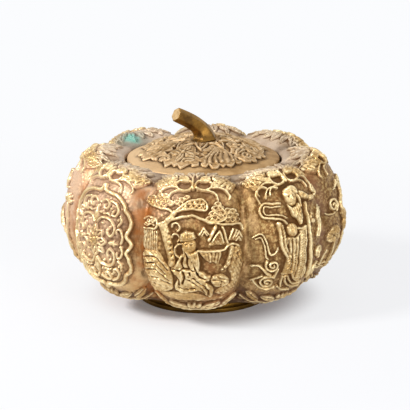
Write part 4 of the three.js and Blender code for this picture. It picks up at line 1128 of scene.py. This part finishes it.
# %% Section of the lid
LID_RADIUS, LID_BASE, LID_EDGE, LID_WALL = 27.1, 49.2, 1.7, 2.2
DOME_RADIUS, DOME_BASE, DOME_RISE = 23.1, 52.2, 5.3
CROWN_RADIUS, HOLE_RADIUS, VAULT_RADIUS = 6.1, 2.3, 22.2
CREASE_DEPTH, CREASE_RUNOUT = 0.9, 6
EDGE_PROFILE = ((0, -0.45), (-0.12, -0.12), (-0.5, 0.16))
FOOT_PROFILE = ((-0.5, 0), (-0.15, 0.15), (0, 0.5))
LID_PITCH, LID_UNDER_PITCH, MOST_ROUNDING = 0.27, 1.1, 0.45
SPHERE = (DOME_RADIUS ** 2 + DOME_RISE ** 2) / (2 * DOME_RISE)
SPHERE_CENTRE = DOME_BASE + DOME_RISE - SPHERE


def skin_line(sphere, start, end, steps=60):
    """Points on a dome of the given radius, as (radius, height)."""
    radius = np.linspace(start, end, steps)
    return np.stack([radius, SPHERE_CENTRE + np.sqrt(sphere ** 2 - radius ** 2)], 1)


def softened(outline, rounding, steps=4):
    """A closed outline with its corners rounded off by at most the given length."""
    outline, points = np.asarray(outline, float), []
    for before, corner, after in zip(np.roll(outline, 1, 0), outline, np.roll(outline, -1, 0)):
        ways = [before - corner, after - corner]
        lengths = [np.hypot(*way) for way in ways]
        start, end = [corner + way / length * min(rounding, length * MOST_ROUNDING)
                      for way, length in zip(ways, lengths)]
        for share in np.linspace(0, 1, steps):
            back = 1 - share
            points.append(back * back * start + 2 * back * share * corner + share * share * end)
    return np.array(points)


crown_height = skin_line(SPHERE, CROWN_RADIUS, CROWN_RADIUS, 1)[0, 1]
lid_edge = [(LID_RADIUS + out, LID_BASE + LID_EDGE + up) for out, up in EDGE_PROFILE]
lid_foot = [(LID_RADIUS + out, LID_BASE + up) for out, up in FOOT_PROFILE]
lid_top = np.vstack([lid_foot[-1:], lid_edge, skin_line(SPHERE, DOME_RADIUS, CROWN_RADIUS)])
lid_under = np.vstack([
    [(CROWN_RADIUS, crown_height), (HOLE_RADIUS, crown_height)],
    skin_line(SPHERE - LID_WALL, HOLE_RADIUS, VAULT_RADIUS),
    [(VAULT_RADIUS, LID_BASE)], lid_foot])
lid_top_rows = spaced(lid_top, LID_PITCH)[0]
lid_rows = np.vstack([lid_top_rows, spaced(lid_under, LID_UNDER_PITCH)[0][1:-1]])
print("lid rows:", len(lid_top_rows), "on top,", len(lid_rows), "in all")

# %% Leaves on the lid
LEAF_SIDE = [(0.6, 9.6), (2.1, 11.0), (3.2, 13.2), (4.9, 14.2), (4.5, 16.0), (6.9, 17.4), (6.3, 18.8),
             (7.6, 20.6), (5.9, 21.4), (5.0, 20.7), (3.5, 22.9), (2.2, 22.2), (1.3, 21.4), (0.1, 22.4)]
PETALS = [((0, 16.0), 90, 4.6), ((0.9, 15.4), 20, 4.4), ((-0.9, 15.4), 160, 4.4), ((0, 14.6), 270, 3.8)]
FAN_ENDS = (-5.8, -3.6, -1.4, 0.8, 3.0, 5.2)
LEAF_RELIEF = 0.85


def leaf_ground(carving):
    outline = LEAF_SIDE + mirrored(LEAF_SIDE[::-1])
    carving.pad(outline, 0.55, 0.35)
    carving.bead(outline, 0.7, 0.7, closed=True)


def blossom_leaf(carving):
    leaf_ground(carving)
    for root, lean, length in PETALS:
        leaf_scrap(carving, root, length, lean, LEAF_RELIEF + 0.3, 0.34)
    carving.dome((0, 15.4), (1.1, 1.0), LEAF_RELIEF + 0.5)
    for side in (-1, 1):
        curl = spiral((side * 3.9, 19.2), (1.5, 0.4), 1.1, 90 + 60 * side)
        hook = [(side * 0.5, 10.6), (side * 2.2, 12.6), (side * 1.5, 14.0)]
        carving.bead(curl, 0.85, LEAF_RELIEF + 0.2)
        carving.bead(hook, 0.9, LEAF_RELIEF, (0.6, 1))


def fan_leaf(carving):
    leaf_ground(carving)
    for end in FAN_ENDS:
        vein = [(0.9 + 0.1 * end, 11.4), (0.8 + 0.4 * end, 14.2), (0.3 + 0.8 * end, 17.4),
                (end - 0.6, 20.2)]
        carving.bead(vein, 1.45, LEAF_RELIEF + 0.25, (0.55, 1.1))
    for side in (-1, 1):
        carving.bead(spiral((side * 2.3, 12.4), (1.2, 0.3), 1.1, 90), 0.8, LEAF_RELIEF + 0.1)


def lid_sepal(carving):
    for side in (-1, 1):
        half_sepal = [(side * across, out) for across, out in ((2.2, 5.8), (1.7, 8.2), (0.0, 11.6))]
        carving.bead(half_sepal, 0.9, 0.8, (1.2, 0.7))
    carving.bead([(0, 5.8), (0, 10.0)], 0.8, 0.7, (1.2, 0.5))


print("lid leaves: blossoms of", len(PETALS), "petals, fans of", len(FAN_ENDS), "veins")

# %% Heights on the lid
LID_COLUMNS = 96
LEAF_WOBBLE, LEAF_MARKS, LEAF_MARK_SIZE = 0.6, 0.14, 1.5
LEAF_SEED, SEPAL_SEED = 200, 300
CROWN_FADE, DOME_SLACK = (-0.2, 0.6), 0.4
lid_columns = LOBES * LID_COLUMNS
lid_angle = np.arange(lid_columns) * 2 * np.pi / lid_columns
leaf_angle = (np.arange(LID_COLUMNS) - LID_COLUMNS // 2 + 0.5) * 2 * np.pi / lid_columns
lid_out = np.broadcast_to(lid_top_rows[:, :1], (len(lid_top_rows), LID_COLUMNS))


def carve_leaf(motif, seed):
    """Heights on one part of the lid, with its own wanderings of the hand."""
    across = lid_out * leaf_angle[None]
    flat = np.stack([across, lid_out, np.zeros_like(across)], -1)
    wander = [LEAF_WOBBLE * unevenness(flat, WANDER_SIZE, WANDER_WAVES, seed + extra)
              for extra in (0, 30)]
    carving = Carving(across + wander[0], lid_out + wander[1])
    motif(carving)
    marks = LEAF_MARKS * unevenness(flat, LEAF_MARK_SIZE, MARK_WAVES, seed + 60)
    return carving.height + smooth(carving.height, *RAISED) * marks


leaf_kinds = (fan_leaf, blossom_leaf) * (LOBES // 2)
leaves = np.hstack([carve_leaf(kind, LEAF_SEED + leaf) for leaf, kind in enumerate(leaf_kinds)])
sepals = np.hstack([carve_leaf(lid_sepal, SEPAL_SEED + leaf) for leaf in range(LOBES)])
sepals = np.roll(sepals, LID_COLUMNS // 2, 1)
on_dome = lid_top_rows[:, 1:] > DOME_BASE - DOME_SLACK
on_dome = on_dome * smooth(lid_top_rows[:, :1] - CROWN_RADIUS, *CROWN_FADE)
lid_relief = np.maximum(leaves, sepals) * on_dome
print("lid relief up to", round(lid_relief.max(), 2), "mm")

# %% Build the lid
LID_WAVES, LID_DROP, LID_FAR_CELLS = 0.12, 0.15, 5
# Painted light on the lid: paler towards the window on the left.
LID_WINDOW_LIGHT, LID_WINDOW_LIGHT_REACH = 0.15, 28
lid_radius, lid_height = lid_rows[:, :1], lid_rows[:, 1:]
top_count = len(lid_top_rows)
crease_run = band(lid_radius, (CROWN_RADIUS, CROWN_RADIUS + CREASE_RUNOUT),
                  (DOME_RADIUS - CREASE_RUNOUT, DOME_RADIUS))
crease_run[top_count:] = 0
sunk = CREASE_DEPTH * valley(lid_angle + np.pi / LOBES)[None] * crease_run
lid_skin = np.stack([lid_radius * np.sin(lid_angle), -lid_radius * np.cos(lid_angle),
                     lid_height - sunk], -1)
top_skin = lid_skin[:top_count]
lid_waves = LID_WAVES * unevenness(top_skin, size=9, waves=12, seed=5)
lid_push = lid_relief + on_dome * (lid_waves - LID_DROP)
lid_skin[:top_count] = top_skin + normals(top_skin) * lid_push[..., None]
lid_layers = {
    "relief": lid_relief,
    "hollow": blurred(lid_relief, NEAR_CELLS) - lid_relief,
    "deep": blurred(lid_relief, LID_FAR_CELLS) - lid_relief,
    "window_light": np.clip(LID_WINDOW_LIGHT - lid_skin[:top_count, :, 0] / LID_WINDOW_LIGHT_REACH, 0, 1)}
carved_lid = sheet_piece("carved_lid", lid_skin, lid_layers, True)
print(carved_lid.name, len(carved_lid.data.polygons), "faces")

# %% [markdown]
# ## The stalk
# The stalk is a six-sided bar that leaves the lid upright, thins out and bends over to one side.
# Below the lid it goes on as a round tenon, whose end is spread like a rivet. One sweep makes it
# all: rings of points along an axis, where each ring says how wide and how six-sided it is.

# %% Axis and section of the stalk
STALK_BASE = crown_height + 0.3
ROOT_RADIUS, SHAFT_RADIUS, TIP_RADIUS, FLARE_SHARE = 5.2, 3.2, 2.6, 0.45
STALK_REACH, STALK_RISE, ROOT_PULL, TIP_PULL = 11, 10, 4.6, 6
TIP_SLOPE, LEAN = math.radians(27), math.radians(180 + 35)
TENON_RADIUS, RIVET_RADIUS, RIVET_TOP, RIVET_BOTTOM = 2, 3.2, 53.49, 52.49
SECTION_POINTS, STALK_STEPS, SOFT_CORNER = 72, 64, 0.965
STREAK_DEPTH, RIPPLE_DEPTH, RIPPLES = 0.05, 0.03, 9
section_angle = np.arange(SECTION_POINTS) * 2 * np.pi / SECTION_POINTS
tip = np.array([STALK_REACH, STALK_RISE])
tip_pull = TIP_PULL * np.array([np.cos(TIP_SLOPE), np.sin(TIP_SLOPE)])
stalk_curve = np.array([(0, 0), (0, ROOT_PULL), tip - tip_pull, tip])


def stalk_axis(share):
    """Place on the axis and its direction, as (reach, rise)."""
    points = stalk_curve
    while len(points) > 2:
        points = points[:-1] + share * (points[1:] - points[:-1])
    way = points[1] - points[0]
    return points[0] + share * way, way / np.hypot(*way)


def stalk_ring(place, way, radius, six_sided):
    """One ring of the stalk, square to its axis."""
    corner = np.cos(np.pi / 6) / np.cos(section_angle % (np.pi / 3) - np.pi / 6)
    outline = radius * (1 + six_sided * (np.minimum(corner, SOFT_CORNER) - 1))
    across, sideways = outline * np.cos(section_angle), outline * np.sin(section_angle)
    reach, height = place[0] + way[1] * across, place[1] - way[0] * across
    x = reach * np.cos(LEAN) - sideways * np.sin(LEAN)
    y = reach * np.sin(LEAN) + sideways * np.cos(LEAN)
    return np.stack([x, y, STALK_BASE + height], -1)


print("stalk: axis of", STALK_REACH, "by", STALK_RISE, "mm")

# %% Rings of the stalk
RIVET = [(0.02, RIVET_BOTTOM), (2.9, RIVET_BOTTOM), (3.1, RIVET_BOTTOM + 0.1),
         (RIVET_RADIUS, RIVET_BOTTOM + 0.3), (RIVET_RADIUS, RIVET_TOP - 0.2), (3.0, RIVET_TOP),
         (TENON_RADIUS, RIVET_TOP), (TENON_RADIUS, STALK_BASE - 0.02)]
CUT_END = [(0.12, 0.12), (0.4, 0.2), (0.9, 0.1), (1.7, 0.0), (TIP_RADIUS - 0.03, -0.05)]
upright = np.array([0, 1.0])
rings = [stalk_ring((0, height - STALK_BASE), upright, radius, 0) for radius, height in RIVET]
chance = np.random.default_rng(11)
streaks = STREAK_DEPTH * blurred(chance.normal(size=(1, SECTION_POINTS)), 1)[0]
for share in np.linspace(0, 1, STALK_STEPS):
    place, way = stalk_axis(share)
    flare = max(0, 1 - share / FLARE_SHARE) ** 2
    radius = SHAFT_RADIUS + (TIP_RADIUS - SHAFT_RADIUS) * share + (ROOT_RADIUS - SHAFT_RADIUS) * flare
    ripple = RIPPLE_DEPTH * np.sin(RIPPLES * share + 2 * section_angle)
    rings.append(stalk_ring(place, way, radius + streaks + ripple, 1))
place, way = stalk_axis(1)
for inset, out in CUT_END:
    rings.append(stalk_ring(place + way * out, way, TIP_RADIUS - inset, 1))
stalk_points = np.array(rings)
end_face = np.zeros(stalk_points.shape[:2])
end_face[1 - len(CUT_END):] = 1
bent_stalk = sheet_piece("bent_stalk", stalk_points, {"cut_end": end_face}, False)
print(bent_stalk.name, len(bent_stalk.data.polygons), "faces")

# %% [markdown]
# ## Turned pieces
# The foot, the plate that closes the floor, the seat in the mouth, the skirt under the lid and the
# washer under the rivet are turned on a lathe. Each is an outline of (radius, height) with softened
# corners, spun about the axis.

# %% Spin the turned pieces
def turned_piece(name, outline, rounding=0.25, columns=144, pitch=0.5):
    """A closed outline of (radius, height), spun about the axis."""
    line = softened(outline, rounding)
    rows = spaced(np.vstack([line, line[:1]]), pitch)[0][:-1]
    angle = np.arange(columns) * 2 * np.pi / columns
    radius, height = rows[:, :1], np.broadcast_to(rows[:, 1:], (len(rows), columns))
    points = np.stack([radius * np.sin(angle), -radius * np.cos(angle), height], -1)
    return sheet_piece(name, points, {}, True)


def ring_outline(inner, outer, bottom, top):
    return [(inner, bottom), (outer, bottom), (outer, top), (inner, top)]


FOOT_INNER, FOOT_OUTER, FOOT_TOP, COVE_RADII = 20.4, 24, 3.1, (1, 1.6)
foot_cove = arc((FOOT_OUTER, FOOT_TOP), COVE_RADII, -90, -180, 8)
foot_outline = [(FOOT_INNER, 0), (FOOT_OUTER, 0), *foot_cove, (FOOT_INNER, FOOT_TOP)]
plate_outline = ring_outline(inner=0.02, outer=20.1, bottom=1.5, top=3.1)
seat_outline = ring_outline(inner=24.2, outer=27.6, bottom=46.9, top=48.9)
skirt_outline = ring_outline(inner=22.2, outer=23.8, bottom=44.9, top=48.9)
washer_outline = ring_outline(inner=2.3, outer=4.6, bottom=53.79, top=54.79)
turned_foot = turned_piece("turned_foot", foot_outline, 0.35, pitch=0.3)
floor_plate = turned_piece("floor_plate", plate_outline)
seat_ring = turned_piece("seat_ring", seat_outline)
lid_skirt = turned_piece("lid_skirt", skirt_outline)
rivet_washer = turned_piece("rivet_washer", washer_outline, 0.2, columns=64, pitch=0.3)
turned_pieces = (turned_foot, floor_plate, seat_ring, lid_skirt, rivet_washer)
for piece in turned_pieces:
    print(piece.name, len(piece.data.polygons), "faces")

# %% [markdown]
# ## Rubbed brass over a brown patina, with painted light and shade
# Old brass goes brown in its hollows, where no hand or cloth reaches, and stays bright on what
# stands proud. A patina could be painted on by hand, but it would hardly fit every stroke. The mesh
# carries the height of the relief and how hollow each point is, so the finish follows the carving:
# brown ground, darker hollows, gold on the strokes, and amber stains down the valleys. Light and
# shade are painted into the colour too: painted light towards the window at the upper left, painted
# shade away from it, below the belly and in the valleys and hollows, painted highlights on the proud
# edges and a painted sheen at the mouth. Thin coats lie on one another, each with its share and its
# tone, and noise breaks up every border.

# %% Brass as a shader
WAX_ROUGHNESS, GLOSS, GLOSS_TINT = 0.3, 0.3, shade(255, 234, 200)


def brass(finish, colour, rough, metal, normal, wax=0.0):
    values = {"Base Color": colour, "Roughness": rough, "Metallic": metal, "Normal": normal,
              "Coat Weight": wax, "Coat Roughness": WAX_ROUGHNESS,
              "Specular IOR Level": GLOSS, "Specular Tint": GLOSS_TINT}
    return finish.close(finish.node("ShaderNodeBsdfPrincipled", None, values))


print("gloss:", GLOSS, "wax roughness:", WAX_ROUGHNESS)

# %% Where the bowl's patina and its painted light and shade change
cast = Finish(bpy.data.materials.new("cast_brass"))
height, pit, wide_pit, between, stain, upwards, window_light, green = [cast.layer(name) for name in layers]
blotch, grain, fine = cast.noise(9, 4), cast.noise(1.6, 4, 0.6), cast.noise(0.7, 3, 0.65)
fleck, streak = cast.noise(1.1, 3, 0.75), cast.noise(2.6, 3, 0.6, (1, 1, 0.25))
wear = cast.noise(11, 3).rising(0.36, 0.62)
patches, specks = blotch - 0.5, grain - 0.5
window_side = window_light.rising(0, 1)
lip = (upwards + 0.1 * specks).rising(0.66, 0.78)
body = 1 - lip
# A painted sheen: pale grey on the smooth inner lip round the mouth.
mouth = (upwards + 0.12 * patches).rising(0.84, 0.95)
# The lower belly turns paler, most on the window side, partly painted light.
belly = (0 - upwards + 0.4 * patches).rising(-0.1, 0.3) * (0.2 + 0.6 * window_light.rising(-0.45, 0.25))
# Painted shade below the belly and round the foot, more of it away from the window.
downwards = 0 - upwards + 0.3 * patches
underside_shade = downwards.rising(0.42, 0.56) * (0.25 + 0.5 * (0 - window_light).rising(-0.3, 0.5))
foot_shade = downwards.rising(0.38, 0.54) * (0.35 + 0.4 * grain.rising(0.4, 0.6))
print("masks of the bowl:", len(cast.nodes), "nodes")

# %% Brown ground of the bowl
lip_tone = cast.mix(blotch.rising(0.38, 0.6), shade(164, 138, 110), shade(214, 192, 166))
rust = cast.mix(window_light.rising(-0.6, -0.2), shade(138, 102, 84), shade(168, 98, 38))
ground = cast.coats(
    cast.mix(blotch.rising(0.35, 0.65), shade(140, 100, 54), shade(186, 146, 94)),
    # Painted shade on the side away from the window, light and dark flecks, and painted light towards
    # it.
    ((0 - window_light + 0.5 * patches).rising(0.05, 0.7) * 0.6, shade(110, 74, 38)),
    (fleck.rising(0.5, 0.6) * 0.6, shade(226, 194, 130)),
    ((0 - fleck).rising(-0.48, -0.36) * 0.6, shade(96, 64, 30)),
    ((window_light + 0.5 * patches).rising(0.1, 0.7) * 0.85, shade(222, 186, 154)),
    # Zones: a paler belly, a painted sheen at the mouth, and painted shade in the lip's valleys and
    # below.
    (belly, shade(224, 186, 126)),
    (lip * 0.85, lip_tone),
    (mouth * 0.6, shade(190, 170, 150)),
    (lip * between.rising(0.25, 0.8) * 0.6, shade(104, 84, 66)),
    (underside_shade, shade(104, 72, 50)),
    (foot_shade * (1 - 0.5 * window_side), shade(98, 68, 52)),
    # The valleys: painted shade in their cores, and dark and light streaks of painted shade and
    # highlight.
    (between.rising(0.62, 0.9) * cast.noise(7, 3).rising(0.36, 0.56) * body * 0.6, shade(98, 60, 26)),
    (between.rising(0.25, 0.85) * (0 - streak).rising(-0.54, -0.4) * 0.8, shade(98, 66, 30)),
    (between.rising(0.15, 0.7) * streak.rising(0.54, 0.66) * body * 0.45, shade(228, 188, 134)),
    # Red patches, stains down the valleys, and wide hollows dark with patina and painted shade.
    (cast.noise(15, 3).rising(0.52, 0.68) * body * 0.45, shade(150, 88, 48)),
    (stain.rising(0.1, 0.6) * cast.noise(6, 4).rising(0.38, 0.6) * body * 0.75, rust),
    ((wide_pit + 0.15 * specks).rising(0.1, 0.36) * (1 - 0.5 * window_side) * 0.9, shade(93, 58, 22)))
print("ground of the bowl:", len(cast.nodes), "nodes")

# %% Gold, cuts and painted edge highlights of the bowl
lip_gold = cast.mix(grain.rising(0.3, 0.7), shade(174, 155, 132), shade(226, 212, 192))
gold = cast.coats(
    cast.mix(wear, shade(190, 152, 94), shade(234, 206, 152)),
    (lip * 0.8, lip_gold),
    ((0 - fleck).rising(-0.52, -0.4) * 0.6, shade(150, 110, 56)))
rubbed = (height + 0.6 * specks).rising(0.4, 1.0)
# Cut lines dark with patina, and with painted shade that deepens away from the window.
cuts = (pit + 0.06 * specks + 0.05 * lip).rising(0.1, 0.28) * (0.88 - 0.4 * window_side * body)
# Painted highlights, together with rubbed wear, on the proud edges of the strokes.
worn_edge_highlights = (0 - pit + 0.16 * specks).rising(0.1, 0.34) * (1 - 0.6 * lip) * (0.4 + 0.35 * wear)
verdigris = cast.mix(fine.rising(0.35, 0.65), shade(92, 172, 154), shade(150, 202, 186))
colour = cast.coats(
    ground,
    (rubbed, gold),
    (cuts, shade(94, 59, 22)),
    (worn_edge_highlights, shade(252, 232, 182)),
    ((green + 0.4 * patches).rising(0.05, 0.5) * 0.6, shade(140, 142, 126)),
    ((green + 0.3 * specks).rising(0.5, 0.8) * 0.85, verdigris))
rough = 0.4 - 0.08 * rubbed + 0.14 * lip + 0.25 * (fine - 0.5)
metal = (0.35 + 0.3 * rubbed) * (1 - 0.45 * lip) * (1 - green)
bumps = cast.bump(fine * 0.7 + grain * 0.6, 0.16)
carved_bowl.data.materials.append(brass(cast, colour, rough, metal, bumps, wax=0.3 * window_side))
print("bowl finish:", len(cast.nodes), "nodes")

# %% [markdown]
# ## Quieter brass
# The lid is matt and tan, with painted shade in the gaps between its leaves, painted highlights on
# their edges and painted light on its left side. The stalk is darker and smoother, apart from its
# pale cut end, and the turned pieces have fine rings from the lathe. They share the shader of the
# bowl and need fewer coats.

# %% Finish of the lid
tan = Finish(bpy.data.materials.new("lid_brass"))
height, pit, wide_pit, window_light = [tan.layer(name) for name in lid_layers]
blotch, grain, fine = tan.noise(6, 4), tan.noise(1.4, 4, 0.6), tan.noise(0.6, 3, 0.6)
specks = grain - 0.5
leaf_tone = tan.mix(tan.noise(3, 3).rising(0.35, 0.65), shade(150, 118, 76), shade(188, 158, 118))
colour = tan.coats(
    tan.mix(blotch.rising(0.35, 0.65), shade(150, 114, 68), shade(186, 150, 102)),
    # Painted light on the left of the lid.
    (window_light * 0.8, shade(226, 192, 148)),
    # Painted shade in the gaps between the leaves.
    ((wide_pit + 0.2 * specks).rising(0.02, 0.26) * 0.95, shade(64, 40, 14)),
    ((height + 0.3 * specks).rising(0.35, 0.8), leaf_tone),
    # Cut lines dark with patina and painted shade.
    ((pit + 0.1 * specks).rising(0.05, 0.22) * 0.92, shade(68, 42, 14)),
    # Painted highlights on the proud edges.
    ((0 - pit).rising(0.06, 0.26) * 0.6, shade(230, 206, 168)))
rough, bumps = 0.5 + 0.2 * (fine - 0.5), tan.bump(fine * 0.7 + grain * 0.5, 0.12)
carved_lid.data.materials.append(brass(tan, colour, rough, 0.3 + 0.2 * grain, bumps))
print("lid finish:", len(tan.nodes), "nodes")

# %% Finish of the stalk and the turned pieces
dusky = Finish(bpy.data.materials.new("stalk_brass"))
blotch, grain, cut_end = dusky.noise(4, 4), dusky.noise(1.2, 4, 0.6), dusky.layer("cut_end")
shaft = dusky.mix(blotch.rising(0.35, 0.68), shade(92, 64, 28), shade(150, 110, 48))
pale = dusky.mix(grain.rising(0.3, 0.7), shade(178, 146, 100), shade(204, 174, 128))
colour, rough = dusky.mix(cut_end, shaft, pale), 0.36 + 0.25 * cut_end + 0.15 * (grain - 0.5)
stalk_brass = brass(dusky, colour, rough, 0.6 - 0.3 * cut_end, dusky.bump(grain, 0.08))
bent_stalk.data.materials.append(stalk_brass)

satin = Finish(bpy.data.materials.new("turned_brass"))
blotch, grain = satin.noise(8, 4), satin.noise(1.0, 3, 0.6, (1, 1, 4))
colour = satin.mix(blotch.rising(0.3, 0.7), shade(72, 48, 14), shade(116, 84, 28))
rough = 0.42 + 0.2 * (grain - 0.5)
satin_brass = brass(satin, colour, rough, 0.7 + 0.1 * grain, satin.bump(grain, 0.05))
for piece in turned_pieces:
    piece.data.materials.append(satin_brass)
print("finishes:", [finish.owner.name for finish in (cast, tan, dusky, satin)])

# %% [markdown]
# ## Join the pieces to the frame
# Each piece stands for one solid of the CAD model and moves with that solid's body, so the lid, its
# skirt, the stalk and the washer lift off together.

# %% Ride and replace; the table also names each finish
for piece, node, body, slot in (
        (carved_bowl, "bowl_shell", "bowl", "cast_brass"),
        (turned_foot, "foot_ring", "bowl", "turned_brass"),
        (floor_plate, "base_plate", "bowl", "turned_brass"),
        (seat_ring, "mouth_seat", "bowl", "turned_brass"),
        (carved_lid, "lid_shell", "lid", "lid_brass"),
        (lid_skirt, "lid_locating_ring", "lid", "turned_brass"),
        (bent_stalk, "stalk_handle", "lid", "stalk_brass"),
        (rivet_washer, "stalk_washer", "lid", "turned_brass")):
    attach(piece, body)
    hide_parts(node)
